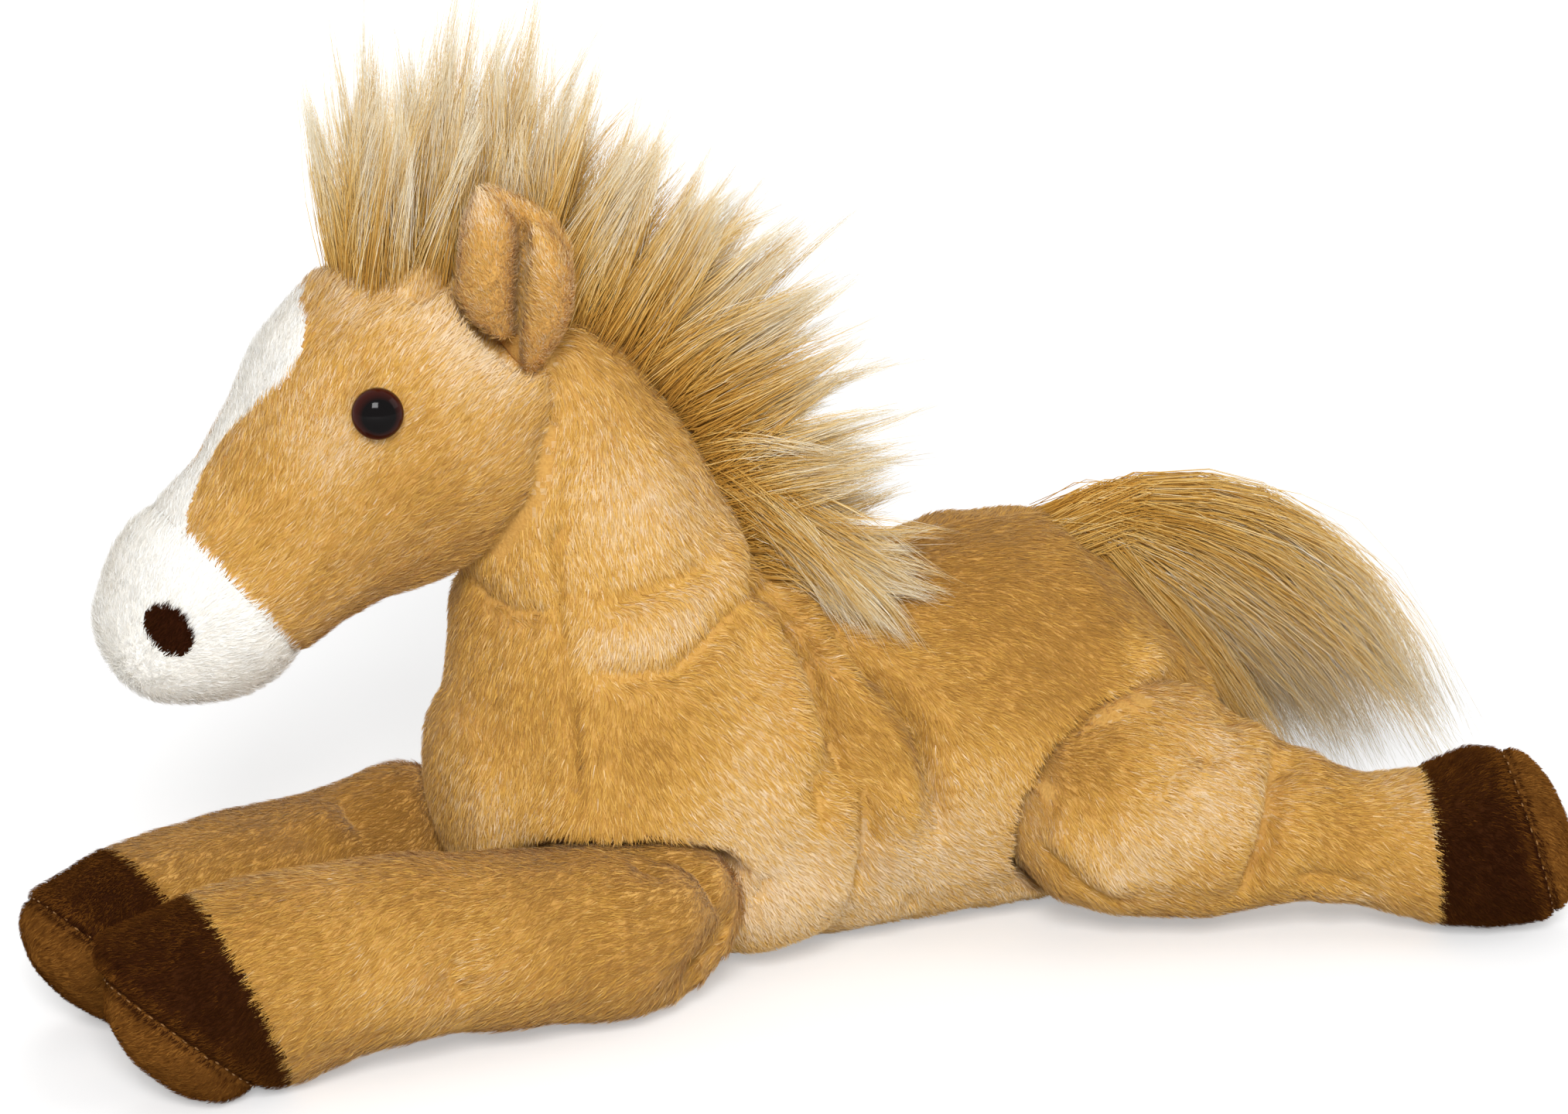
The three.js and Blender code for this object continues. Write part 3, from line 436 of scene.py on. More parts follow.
def nearest_of(points, course):
    """For each point the nearest one of a course: its number, and how far it is."""
    best = np.full(len(points), np.inf)
    number = np.zeros(len(points), int)
    for k, place in enumerate(course):
        distance = ((points - place) ** 2).sum(1)
        closer = distance < best
        best[closer] = distance[closer]
        number[closer] = k
    return number, np.sqrt(best)


# Shade in the folds is painted into the pile's colour: how much, and how wide.
FOLD_PAINTED_SHADE = 0.66
FOLD_PAINTED_SHADE_WIDTH = 1.5 * MM
# the depth of a fold at which its painted shade is full
FOLD_FULL_DEPTH = 4 * MM
FOLD_FRONT_SHARE = 1.5  # the skin rises more in front of a fold than behind it
FOLD_SOFT_SHARE = 0.4  # how much of a fold's depth is its soft valley, the rest being its sharp bottom
FOLD_BOTTOM_WIDTH = 0.38  # of the valley's width
SWELL_PLACE = 2.1  # how far from the fold the skin rises most, and how broadly, in widths of the valley
SWELL_WIDTH = 1.5
SWELL_ABOVE = (-1.0, 1.8)  # from where to where a swell above the fold rises, in the same widths
FOLD_ENDS = 1.7  # how quickly a fold gets deep from its ends


def crease(obj, folds, mirrored=True):
    """Presses folds into a skin, and returns their courses with the strength of their painted shade. Each is
    (pixels, depth, width, swell), in millimetres: the swell is how far the skin rises beside the fold. It
    rises most in front of it, or for a negative swell above it."""
    tree = tree_of(obj)
    points = coords(obj)
    shift = np.zeros(len(points))
    courses = []
    for pixels, *sizes in folds:
        depth, width, swell = (size * MM for size in sizes)
        line = on_skin(tree, pixels)
        if len(line) < 3:
            continue
        taper = np.clip(FOLD_ENDS * np.sin(np.linspace(0.02, 0.98, len(line)) * math.pi), 0, 1)
        for side in (1, -1) if mirrored else (1,):
            course = line * np.array([1, side, 1])
            # how strong the painted shade is along the fold
            weights = taper * min(1, depth / FOLD_FULL_DEPTH)
            courses.append(np.column_stack([course, weights])[::3])
            number, distance = nearest_of(points, course)
            strength = taper[number]
            away = distance / width
            soft = FOLD_SOFT_SHARE * np.exp(-(away**2))
            sharp = (1 - FOLD_SOFT_SHARE) * np.exp(-((away / FOLD_BOTTOM_WIDTH) ** 2))
            shift -= depth * strength * (soft + sharp)
            spread = (distance - SWELL_PLACE * width) / (SWELL_WIDTH * width)
            rise = abs(swell) * strength * np.exp(-(spread**2))
            beside = points - course[number]
            if swell > 0:
                rise *= np.where(beside[:, 0] < 0, FOLD_FRONT_SHARE, 2 - FOLD_FRONT_SHARE)
            else:
                rise *= ramp(beside[:, 2], *(end * width for end in SWELL_ABOVE))
            shift += rise
    push_out(obj, shift)
    return courses


def painted_fold_shade(points, courses):
    """Painted shade in the folds: how much deeper the pile's colour is near them."""
    if not courses:
        return np.zeros(len(points))
    line = np.concatenate(courses)
    number, distance = nearest_of(points, line[:, :3])
    return -FOLD_PAINTED_SHADE * line[number, 3] * np.exp(-((distance / FOLD_PAINTED_SHADE_WIDTH) ** 2))


def field_of(tree, places, mirrored=True):
    """A field over space from patches, (pixel's x and y, radius in millimetres, amount), laid on the skin
    that is seen there."""
    patches = []
    for x, y, radius, amount in places:
        middle = seen_at(tree, (x, y))
        if middle is not None:
            patches.append((np.array(middle), radius * MM, amount))

    def field(points):
        total = np.zeros(len(points))
        for middle, radius, amount in patches:
            for side in (1, -1) if mirrored else (1,):
                away = points - middle * np.array([1, side, 1])
                total += amount * np.exp(-(away**2).sum(1) / radius**2)
        return total

    return field


def swells(obj, places):
    """Raises round lumps on a skin, or presses dents where the height is negative. Each is (pixel's x and y,
    radius, height), in millimetres."""
    places = [(x, y, radius, height * MM) for x, y, radius, height in places]
    push_out(obj, field_of(tree_of(obj), places, mirrored=False)(coords(obj)))


def round_off(obj, share, times):
    """Smooths the part of a skin where the share is 1, and lets it out again by what it shrank."""
    points = coords(obj)
    normals = point_normals(obj)
    ends = read(obj.data.edges, "vertices", 2, np.int32)
    from_ends, to_ends = np.concatenate([ends[:, 0], ends[:, 1]]), np.concatenate([ends[:, 1], ends[:, 0]])
    near = np.maximum(np.bincount(from_ends, minlength=len(points)), 1)
    smooth = points.copy()
    for _ in range(times):
        for axis in range(3):
            middle = np.bincount(from_ends, smooth[to_ends, axis], len(points)) / near
            smooth[:, axis] += (middle - smooth[:, axis]) * SMOOTHING_STEP * share
    shrunk = ((points - smooth) * normals).sum(1)
    set_coords(obj, smooth + normals * (share * shrunk[share > 0.9].mean())[:, None])


def stay_clear(obj, trees, gap):
    """Pushes the points of a skin out of other pieces."""
    points = coords(obj)
    for tree, low, high in trees:
        close = np.all((points > low - gap) & (points < high + gap), axis=1)
        for k in np.nonzero(close)[0]:
            place, normal, _, distance = tree.find_nearest(points[k])
            depth = (Vector(points[k]) - place).dot(normal)
            if depth < 0 or distance < gap:
                points[k] = place + normal * gap
    set_coords(obj, points)


BULGE_REACH = 3 * MM
SEAM_REACH = 0.6 * MM
CUT_GAP = 0.05 * MM
PAD_SHARE = 0.97  # of a pad's points that its dome spans
PAD_FULLNESS = 0.6  # the lower, the fuller the dome


def groove(obj, seam, depth, width):
    """Sinks a skin along a plane, as a sewn seam does."""
    push_out(obj, -depth * np.exp(-((past(coords(obj), seam) / width) ** 2)))


def bulge(obj, seam, height):
    """Swells a skin beyond a plane, most in the middle, as filling swells a sewn-on pad."""
    points = coords(obj)
    normal = np.array(seam[1])
    beyond = past(points, seam)
    flat = points - beyond[:, None] * normal
    middle = flat[beyond > 0].mean(0)
    spread = np.linalg.norm(flat - middle, axis=1)
    radius = np.quantile(spread[beyond > 0], PAD_SHARE)
    dome = np.clip(1 - (spread / radius) ** 2, 0, 1) ** PAD_FULLNESS
    set_coords(obj, points + (ramp(beyond, 0, BULGE_REACH) * dome * height)[:, None] * normal)


def seam_plane(near_node, far_node):
    """The plane where two solids meet: a point on it, and its normal towards the far one."""
    near = tree_of(frame["nodes"][near_node])
    middle, normal, area = Vector(), Vector(), 0
    for face in frame["nodes"][far_node].data.polygons:
        if near.find_nearest(face.center)[3] < SEAM_REACH:
            middle += face.center * face.area
            normal += face.normal * face.area
            area += face.area
    return middle / area, -normal.normalized()


def cut_off(obj, name, point, normal):
    """Cuts a closed skin at a plane. obj keeps what lies behind it, and the rest is a new object. Both are
    closed."""
    parts = []
    for sign in (1, -1):
        made = bmesh.new()
        made.from_mesh(obj.data)
        outward = Vector(normal) * sign
        bmesh.ops.bisect_plane(
            made,
            geom=made.verts[:] + made.edges[:] + made.faces[:],
            plane_co=Vector(point) - outward * CUT_GAP,
            plane_no=outward,
            clear_outer=True,
        )
        rim = [e for e in made.edges if e.is_boundary]
        closed = bmesh.ops.holes_fill(made, edges=rim, sides=0)["faces"]
        bmesh.ops.triangulate(made, faces=closed)
        bmesh.ops.recalc_face_normals(made, faces=made.faces[:])
        parts.append(made)
    parts[0].to_mesh(obj.data)
    parts[0].free()
    shade_smooth(obj.data)
    return obj, from_bmesh(name, parts[1])


# Pile.

BLADES_PER_PIECE = 62000
BLADE_WIDTH = 0.21 * MM
ROOM_LIMIT = 5 * MM  # how far the pile looks for another piece that it has to stay clear of
ROOT_ROOM = 0.35 * MM
TIP_ROOM = 0.1 * MM
RIM_WIDTH = 2.8 * MM  # near another piece the pile stands up, and fills the crease
RIM_LIFT = 1.15
BLADE_TURN = 0.2  # how unevenly the blades point along the nap, and how unevenly they lie flat, in radians
BLADE_ROLL = 0.3
BLADE_ROOT = 0.15 * MM  # how deep a blade starts under the skin
BLADE_BEND = 0.35  # how much of its rise a blade keeps past its middle
BLADE_TAPER = 0.8  # a blade's width at its middle
FLOOR_GAP = 0.1 * MM
SWIRL_SIZE = 26 * MM
SWIRL = 0.35
SHADE_SIZE = 3 * MM
SHADE_WAVES = 0.1
SHADE_SPREAD = 0.15
PILE_LIFT = 0.42

# A blade that would meet another piece stands up and gets shorter: share of its length, and its rise.
SHORTER = ((0.9, 1.2), (0.6, 1.4), (0.3, 1.4))


def scatter(obj, density, seed):
    """Random places on a skin: points and normals."""
    mesh = obj.data
    mesh.calc_loop_triangles()
    corners = read(mesh.loop_triangles, "vertices", 3, np.int32)
    points, normals = coords(obj), point_normals(obj)
    a, b, c = (points[corners[:, k]] for k in range(3))
    area = np.linalg.norm(np.cross(b - a, c - a), axis=1) / 2
    total = np.cumsum(area)
    rng = np.random.default_rng([SEED, seed])
    count = int(total[-1] * density / MM**2)
    face = np.minimum(np.searchsorted(total, rng.uniform(0, total[-1], count)), len(area) - 1)
    first, second = rng.uniform(size=(2, count))
    over = first + second > 1
    first[over], second[over] = 1 - first[over], 1 - second[over]
    shares = np.stack([1 - first - second, first, second], axis=1)[..., None]
    return (points[corners[face]] * shares).sum(1), unit((normals[corners[face]] * shares).sum(1))


def room_over(points, trees):
    """How far each point is outside other pieces, up to a limit, and less than nothing inside them."""
    room = np.full(len(points), ROOM_LIMIT)
    for tree, low, high in trees:
        close = np.all((points > low - ROOM_LIMIT) & (points < high + ROOM_LIMIT), axis=1)
        for k in np.nonzero(close)[0]:
            place, normal, _, distance = tree.find_nearest(points[k], ROOM_LIMIT)
            if place is None:
                continue
            if (Vector(points[k]) - place).dot(normal) < 0:
                distance = -distance
            room[k] = min(room[k], distance)
    return room


def neighbour(obj):
    """What room_over needs to know of another piece."""
    points = coords(obj)
    return tree_of(obj), points.min(0), points.max(0)


def blades(points, normals, flow, length, lift, width, turns):
    """Thin tapered blades, each a quad and a tip, that rise from a skin and bend over along the flow.
    turns holds two random numbers for each."""
    along = unit(flow - normals * (flow * normals).sum(1)[:, None])
    across = np.cross(normals, along)
    turn, roll = turns[:, :1] * BLADE_TURN, turns[:, 1:] * BLADE_ROLL
    along, across = along * np.cos(turn) + across * np.sin(turn), across * np.cos(turn) - along * np.sin(turn)
    flat = across * np.cos(roll) + normals * np.sin(roll)
    start, end = (
        along * np.cos(rise)[:, None] + normals * np.sin(rise)[:, None] for rise in (lift, lift * BLADE_BEND)
    )
    root = points - normals * BLADE_ROOT
    middle = root + start * (length * 0.5)[:, None]
    tip = middle + end * (length * 0.5)[:, None]
    half = flat * (width / 2)[:, None]
    corners = [root - half, root + half, middle + half * BLADE_TAPER, middle - half * BLADE_TAPER, tip]
    corners = np.stack(corners, axis=1)
    corners[..., 2] = np.maximum(corners[..., 2], FLOOR_GAP)
    return corners


def add_pieces(name, body, materials, rows, per_piece, faces, sizes, choice):
    """Objects that ride on a body, with the same faces for each row of points. choice holds the number of
    the material of each face, row by row."""
    pieces = []
    parts = np.array_split(np.arange(len(rows)), max(1, math.ceil(len(rows) / per_piece)))
    for number, part in enumerate(parts, 1):
        points = rows[part].reshape(-1, 3)
        corners = (np.arange(len(part))[:, None] * rows.shape[1] + faces[None]).ravel()
        piece_name = f"{name}_{number}"
        mesh = mesh_from(piece_name, points, corners, np.tile(sizes, len(part)), choice[part].ravel())
        for material in materials:
            mesh.materials.append(material)
        piece = link(piece_name, mesh)
        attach(piece, body)
        pieces.append(piece)
    return pieces


def pile(
    name, body, skin, materials, flow, tint, length, density, seed, near=(), keep=None, lift=PILE_LIFT,
):
    """A coat of pile on a skin, as one or more pieces that ride on a body."""
    points, normals = scatter(skin, density, seed)
    if keep is not None:
        kept = keep(points)
        points, normals = points[kept], normals[kept]
    room = room_over(points, near)
    clear = room > ROOT_ROOM
    points, normals, room = points[clear], normals[clear], room[clear]
    order = np.argsort(points[:, 0])
    points, normals, room = points[order], normals[order], room[order]
    count = len(points)
    rng = np.random.default_rng([SEED, seed, 1])
    lengths = length * rng.uniform(0.7, 1.15, count)
    rise = lift * rng.uniform(0.6, 1.3, count)
    rise += (RIM_LIFT - rise) * ramp(room, RIM_WIDTH, ROOT_ROOM)
    swirl = waves(points, SWIRL_SIZE, seed + 1)[:, None]
    direction = unit(flow(points, normals))
    direction = direction + np.cross(normals, direction) * swirl * SWIRL
    width = BLADE_WIDTH * rng.uniform(0.6, 1.2, count)
    turns = rng.normal(size=(count, 2))
    shade = tint(points, normals) + SHADE_WAVES * waves(points, SHADE_SIZE, seed + 2)
    shade = shade + rng.normal(0, SHADE_SPREAD, count)
    made = blades(points, normals, direction, lengths, rise, width, turns)
    tight = np.nonzero(room < ROOM_LIMIT)[0]
    for share, stand in SHORTER:
        tight = tight[room_over(made[tight, 4], near) < TIP_ROOM]
        standing = np.full(len(tight), stand)
        short = (points[tight], normals[tight], direction[tight], lengths[tight] * share, standing)
        made[tight] = blades(*short, width[tight], turns[tight])
    free = np.ones(count, bool)
    free[tight[room_over(made[tight, 4], near) < 0]] = False
    choice = np.clip((shade[free] * len(materials)).astype(int), 0, len(materials) - 1)
    choice = np.repeat(choice[:, None], 2, axis=1)
    faces = np.array([0, 1, 2, 3, 3, 2, 4])
    return add_pieces(name, body, materials, made[free], BLADES_PER_PIECE, faces, [4, 3], choice)


# Long hair.

HAIR_STATIONS = 8
STRANDS_PER_PIECE = 4200
HAIR_WIDTH = 0.2 * MM
HAIR_LOW = 0.4 * MM  # how near the floor hair may come
ROOT_STRAY_LIMIT = 1.9  # in spreads, so that no single hair stands off its lock
LOOSE_SHARE = 0.2  # of the hair strays further at its tip, by so much
LOOSE_STRAY = 3.4
STRAY_AT_ROOT = 0.35  # of what it is at the tip
WAVE_REACH = 40 * MM  # the length of hair that curls by its frizz
HAIR_TAPER = 0.86
ASKEW = np.array([0.13, 1.0, 0.21])  # no hair runs along this direction
HAIR_SHADE_SPREAD = 0.15
LOCK_SHADE_SPREAD = 0.11


def strand_lines(locks, strands, root_spread, tip_spread, frizz, rng):
    """Lines of hair in locks. Each lock is (root, bend, tip), and its strands meet near the tip."""
    count = len(locks) * strands
    lock = np.repeat(np.arange(len(locks)), strands)
    root, bend, tip = (np.array([entry[k] for entry in locks])[lock] for k in range(3))
    reach = np.linalg.norm(tip - root, axis=1)[:, None]
    spot = np.clip(rng.normal(size=(count, 3)), -ROOT_STRAY_LIMIT, ROOT_STRAY_LIMIT) * root_spread
    length = rng.beta(3.6, 1.4, count)[:, None]
    loose = (rng.uniform(size=count) < LOOSE_SHARE)[:, None]
    stray = rng.normal(size=(count, 3)) * np.where(loose, LOOSE_STRAY, 1.0) * tip_spread
    stray_share = STRAY_AT_ROOT + (1 - STRAY_AT_ROOT) * length
    end = root + (tip - root) * length + stray * stray_share + spot * (1 - length) * 0.8
    middle = root + (bend - root) * length + spot * 0.75 + stray * 0.25
    way = np.linspace(0, 1, HAIR_STATIONS)[None, :, None]
    start = (root + spot)[:, None]
    line = start * (1 - way) ** 2 + middle[:, None] * 2 * way * (1 - way) + end[:, None] * way**2
    side = unit(np.cross((end - start[:, 0]), rng.normal(size=(count, 3))))[:, None]
    other = unit(np.cross((end - start[:, 0]), side[:, 0]))[:, None]
    pitch = rng.uniform(0.6, 1.7, (count, 1, 1))
    phase = rng.uniform(0, math.tau, (count, 1, 1))
    size = frizz * rng.uniform(0.3, 1.3, (count, 1, 1)) * way * reach[:, None] / WAVE_REACH
    turn = way * pitch * math.tau + phase
    return line + side * np.sin(turn) * size + other * np.cos(turn) * size


def hair(name, body, locks, strands, spreads, seed, tones, sunk=(0, 0, 0)):
    """Locks of long hair, as closed three-sided strands, in one or more pieces that ride on a body. spreads
    are those of the roots and the tips, and the frizz. The strands' first points can be sunk under the
    skin, so that the hair stays joined where it turns."""
    rng = np.random.default_rng([SEED, seed])
    lines = strand_lines(locks, strands, *spreads, rng)
    lines[:, 0] += in_frame(sunk)
    lines[..., 2] = np.maximum(lines[..., 2], HAIR_LOW)
    count = len(lines)
    tangents = unit(np.gradient(lines, axis=1))
    first = unit(np.cross(tangents, ASKEW))
    second = np.cross(tangents, first)
    way = np.linspace(0, 1, HAIR_STATIONS)
    thick = HAIR_WIDTH / 2 * rng.uniform(0.65, 1.15, count)[:, None] * (1 - HAIR_TAPER * way**1.7)[None]
    rings = [
        lines + (first * math.cos(angle) + second * math.sin(angle)) * thick[..., None]
        for angle in (0, math.tau / 3, 2 * math.tau / 3)
    ]
    rows = np.stack(rings, axis=2).reshape(count, -1, 3)
    corner = np.arange(3)
    after = (corner + 1) % 3
    walls = []
    for low in range(0, HAIR_STATIONS * 3 - 3, 3):
        walls.append(np.stack([low + corner, low + after, low + 3 + after, low + 3 + corner], axis=1))
    top = HAIR_STATIONS * 3 - 3
    faces = np.concatenate([np.concatenate(walls).ravel(), [0, 2, 1, top, top + 1, top + 2]])
    sizes = [4] * len(walls) * 3 + [3, 3]
    share = np.concatenate([np.repeat(np.arange(HAIR_STATIONS - 1) / (HAIR_STATIONS - 2), 3), [0, 1]])
    shade = rng.normal(0, HAIR_SHADE_SPREAD, count)
    shade = shade + np.repeat(rng.normal(0, LOCK_SHADE_SPREAD, len(locks)), strands)
    tone = lerp(*tones, share[None] ** 0.9) + shade[:, None]
    choice = np.clip((tone * len(HAIR_FIBRES)).astype(int), 0, len(HAIR_FIBRES) - 1)
    return add_pieces(name, body, HAIR_FIBRES, rows, STRANDS_PER_PIECE, faces, sizes, choice)


# Body.

BODY_NODES = ["torso", "neck", "pellet_pouch"]
BODY_VOXEL = 1.3 * MM
BODY_SMOOTHING = 14

# Folds: pixels, and in millimetres depth, width and swell.
BODY_FOLDS = [
    ([(963, 707), (970, 754), (1006, 793), (1031, 832), (1049, 871), (1063, 914), (1075, 957), (1086, 1007)],
     6.0, 3.4, 2.4),
    ([(1106, 1011), (1116, 1043), (1118, 1086), (1111, 1125), (1104, 1157)], 3.4, 3.2, 1.8),
    ([(1066, 804), (1091, 836), (1116, 864), (1141, 879), (1159, 904), (1181, 936), (1195, 971), (1202, 1014),
      (1211, 1054), (1213, 1086)], 6.4, 3.3, 2.5),
    ([(747, 867), (785, 872), (821, 872), (873, 866), (910, 834), (939, 797), (962, 755)], 3.0, 5.4, -1.4),
    ([(760, 775), (820, 765), (880, 745), (925, 715)], 2.0, 6.0, 0.8),
    ([(599, 737), (625, 771), (662, 789), (717, 789)], 2.4, 4.0, -1.2),
    ([(732, 590), (729, 671), (712, 704), (721, 752), (725, 800), (736, 845), (741, 893), (745, 967),
      (751, 1078)], 1.5, 1.6, 0.3),
    ([(988, 1129), (977, 1161)], 1.6, 2.2, 0.5),
    ([(1177, 1146), (1177, 1171)], 1.6, 2.2, 0.5),
    ([(1040, 985), (1052, 1030), (1060, 1075)], 1.6, 3.0, 0.6),
]

# Where the pile is paler or deeper: partly its own tone, and partly painted highlight and shade (the nap's
# sheen, lit rolls and shaded hollows). Pixel, radius in millimetres, amount.
BODY_TONE_AND_LIGHT_PATCHES = [
    (800, 640, 12, 0.22), (880, 630, 12, 0.22), (940, 660, 9, 0.16),
    (770, 845, 6, 0.3), (830, 835, 6, 0.3), (890, 800, 6, 0.28), (930, 745, 7, 0.2),
    (800, 940, 13, -0.18), (860, 990, 13, -0.16), (640, 980, 12, -0.06),
    (1000, 1060, 16, 0.26), (960, 1150, 15, 0.22), (1100, 1130, 15, 0.24),
    (1210, 1090, 15, 0.24), (1280, 1000, 10, 0.14), (980, 840, 12, 0.12),
    (1130, 800, 12, -0.12), (1300, 720, 26, -0.14), (1350, 830, 18, -0.12),
    (620, 1040, 9, 0.2), (1480, 850, 9, 0.26), (1545, 840, 7, 0.3),
    (1120, 920, 8, -0.12), (1150, 980, 8, -0.1),
]
CHEST_SEAM_X = -50 * MM
NAP_PARTING = 38 * MM  # how far from the seam the nap leans fully away from it
NAP_LEAN = 0.75
NAP_OUTWARD = 0.12  # on the sides, and on the back
BACK_OUTWARD = 0.5
BACK_TILT = (0.25, 0.85)  # the normal's height where the back's nap starts, and where it is all the back's


def body_flow(points, normals):
    """The nap parts at the chest's side seam, and falls away from it. On the back it runs backwards."""
    away = np.clip((points[:, 0] - CHEST_SEAM_X) / NAP_PARTING, -1, 1.2)
    one, outward = np.ones(len(points)), np.sign(points[:, 1])
    down = np.stack([away * NAP_LEAN, NAP_OUTWARD * outward, -one], axis=1)
    back = np.stack([one, BACK_OUTWARD * outward, 0 * one], axis=1)
    top = ramp(normals[:, 2], *BACK_TILT)[:, None]
    return down * (1 - top) + back * top


# Filling behind the elbows and over the thighs: middle and radii in millimetres, on both sides.
BODY_FILLERS = {
    LEFT: [((-12, -12, 24), (24, 22, 21)), ((63, -20, 57), (15, 12, 7)), ((76, -14, 52), (8, 11, 9))],
    RIGHT: [((-17, 12, 24), (24, 22, 21)), ((63, 20, 57), (15, 12, 7)), ((76, 14, 52), (8, 11, 9))],
}
BODY_LUMPS = (0.35 * MM, 17 * MM)  # height and size
CLEARANCE = 0.7 * MM
SKIN_LOW = 0.4 * MM  # how near the floor the body's skin may come


# Head.

EYE_RADIUS = 4.9 * MM
EYE_DOME = 3.4 * MM
EYE_DEPTH = 0.7 * MM  # how far the eye sits in the pile
EYE_FORWARD = math.radians(14)
EYE_UP = math.radians(6)
EYE_FILLER_RADIUS = 7.2 * MM
EYE_FILLER_RISE = 0.2 * MM
EYE_BARE_SHARE = 0.82  # of its radius grows no pile
HEAD_VOXEL = 1.1 * MM
HEAD_SMOOTHING = 12
MUZZLE_SMOOTHING = 90
MUZZLE_BLEND = 6 * MM
MUZZLE_GROOVE = (0.5 * MM, 1.3 * MM)  # depth and width
HEAD_LUMPS = (0.25 * MM, 15 * MM)


def eye_place(side):
    """The middle of an eye's rim, and the direction that it faces."""
    out = Vector((-math.sin(EYE_FORWARD), side * math.cos(EYE_FORWARD), math.tan(EYE_UP))).normalized()
    top = max((v.co for v in frame["nodes"][f"eye_{SIDE_NAME[side]}"].data.vertices), key=lambda p: p @ out)
    return top - out * EYE_DOME, out


EYES = [eye_place(side) for side in SIDES]
fillers = [(rim - out * (EYE_FILLER_RADIUS - EYE_FILLER_RISE), [EYE_FILLER_RADIUS] * 3) for rim, out in EYES]
head_nodes = ["head", "muzzle", "blaze_panel", "nostril_left", "nostril_right"]
head_skin = skin_of("head_skin", head_nodes, HEAD_VOXEL, HEAD_SMOOTHING, fillers)

HEAD_FOLDS = [
    ([(520, 395), (536, 389), (556, 376), (578, 364), (592, 350)], 2.6, 1.9, 1.0),
    ([(722, 520), (733, 560), (730, 600)], 0.8, 1.4, 0.2),
]
# Where the head's pile is paler or deeper: partly its own tone, and partly painted highlight and shade, such
# as the highlight above and behind the eye. Pixel, radius in millimetres, amount.
HEAD_TONE_AND_LIGHT_PATCHES = [
    (600, 445, 9, 0.3), (640, 470, 8, 0.25), (560, 420, 8, 0.16),
    (400, 565, 9, 0.12), (430, 600, 9, 0.08), (470, 385, 10, 0.2),
    (430, 380, 7, 0.16), (600, 700, 16, -0.14), (430, 740, 13, -0.1),
    (330, 640, 9, -0.06), (520, 640, 10, -0.06), (470, 470, 8, -0.05),
    (700, 660, 7, 0.1),
]
lumps(head_skin, *HEAD_LUMPS, 21)
crease(head_skin, HEAD_FOLDS)
muzzle_seam = seam_plane("head", "muzzle")
round_off(head_skin, ramp(past(coords(head_skin), muzzle_seam), 0, MUZZLE_BLEND), MUZZLE_SMOOTHING)
groove(head_skin, muzzle_seam, *MUZZLE_GROOVE)

NOSE = in_frame([-139, 0, 78])
HEAD_NAP_RISE = np.array([0.0, 0.0, 0.35])


def head_flow(points, _):
    """The nap runs back and up from the nose."""
    return unit(points - NOSE) + HEAD_NAP_RISE


# Legs.

LEG_VOXEL = 1.15 * MM
LEG_SMOOTHING = 10
LEG_LUMPS = (0.3 * MM, 16 * MM)
HOOF_GROOVE = (0.35 * MM, 1.1 * MM)
SOLE_GROOVE = (0.9 * MM, 0.9 * MM)
SOLE_BULGE = {"foreleg": 4.5 * MM, "hindleg": 1.5 * MM}
LEG_FOLDS = {
    "foreleg_left": [
        ([(831, 1108), (878, 1113), (906, 1130), (927, 1163), (940, 1195)], 1.8, 3.6, 1.0),
        ([(820, 1115), (849, 1129), (866, 1143)], 1.8, 3.2, 0.8),
        ([(592, 1234), (588, 1267), (612, 1295)], 1.6, 4.0, 0.6),
    ],
    "foreleg_right": [([(445, 1030), (452, 1050), (470, 1075)], 1.2, 2.4, 0.5)],
    "hindleg_left": [
        ([(1641, 969), (1646, 1003), (1641, 1043), (1632, 1088), (1612, 1137), (1597, 1157)], 4.6, 3.4, 2.0),
        ([(1339, 1083), (1364, 1112), (1394, 1142), (1428, 1162), (1458, 1167)], 2.6, 2.8, -1.4),
        ([(1661, 1127), (1721, 1132), (1775, 1147)], 1.5, 3.0, 0.5),
        ([(1527, 964), (1550, 975), (1562, 990)], 2.6, 4.0, 1.2),
    ],
}
# Where each leg's pile is paler or deeper: partly its own tone, and partly painted highlight and shade, such
# as the far foreleg's shade.
LEG_TONE_AND_LIGHT_PATCHES = {
    "foreleg_left": [
        (420, 1130, 12, 0.14), (620, 1110, 12, 0.12), (600, 1290, 14, 0.18),
        (480, 1300, 12, 0.16), (520, 1200, 12, -0.04), (700, 1170, 12, -0.02),
        (850, 1170, 9, -0.1), (935, 1220, 8, 0.12),
    ],
    "foreleg_right": [(300, 1080, 12, 0.02), (520, 1060, 14, -0.14)],
    "hindleg_left": [
        (1500, 1070, 12, 0.26), (1600, 1040, 10, 0.24), (1560, 950, 8, 0.16),
        (1400, 990, 12, -0.08), (1340, 1060, 8, 0.18), (1450, 1120, 9, 0.14),
        (1735, 1070, 8, -0.2), (1790, 1020, 7, 0.1), (1750, 1160, 8, 0.14),
    ],
}

# Lumps and dents: pixel, and in millimetres radius and height.
LEG_SWELLS = {
    "foreleg_left": [(955, 1230, 12, -4.0), (938, 1278, 13, -7.0), (950, 1125, 9, -3.5)],
    "foreleg_right": [(530, 1025, 9, 5.0), (480, 1030, 9, 2.5)],
    "hindleg_left": [
        (1545, 905, 5, 1.6), (1583, 925, 5, -3.0), (1622, 955, 5, 2.2),
        (1655, 985, 4, -2.0), (1690, 985, 5, 1.6), (1450, 1040, 16, 1.5),
        (1480, 900, 12, 2.0),
    ],
}

# The sole's seam in the photograph, where it shows.
SOLE_LINES = {"foreleg_left": [(140, 1273), (171, 1291), (216, 1328), (261, 1364), (285, 1380)]}


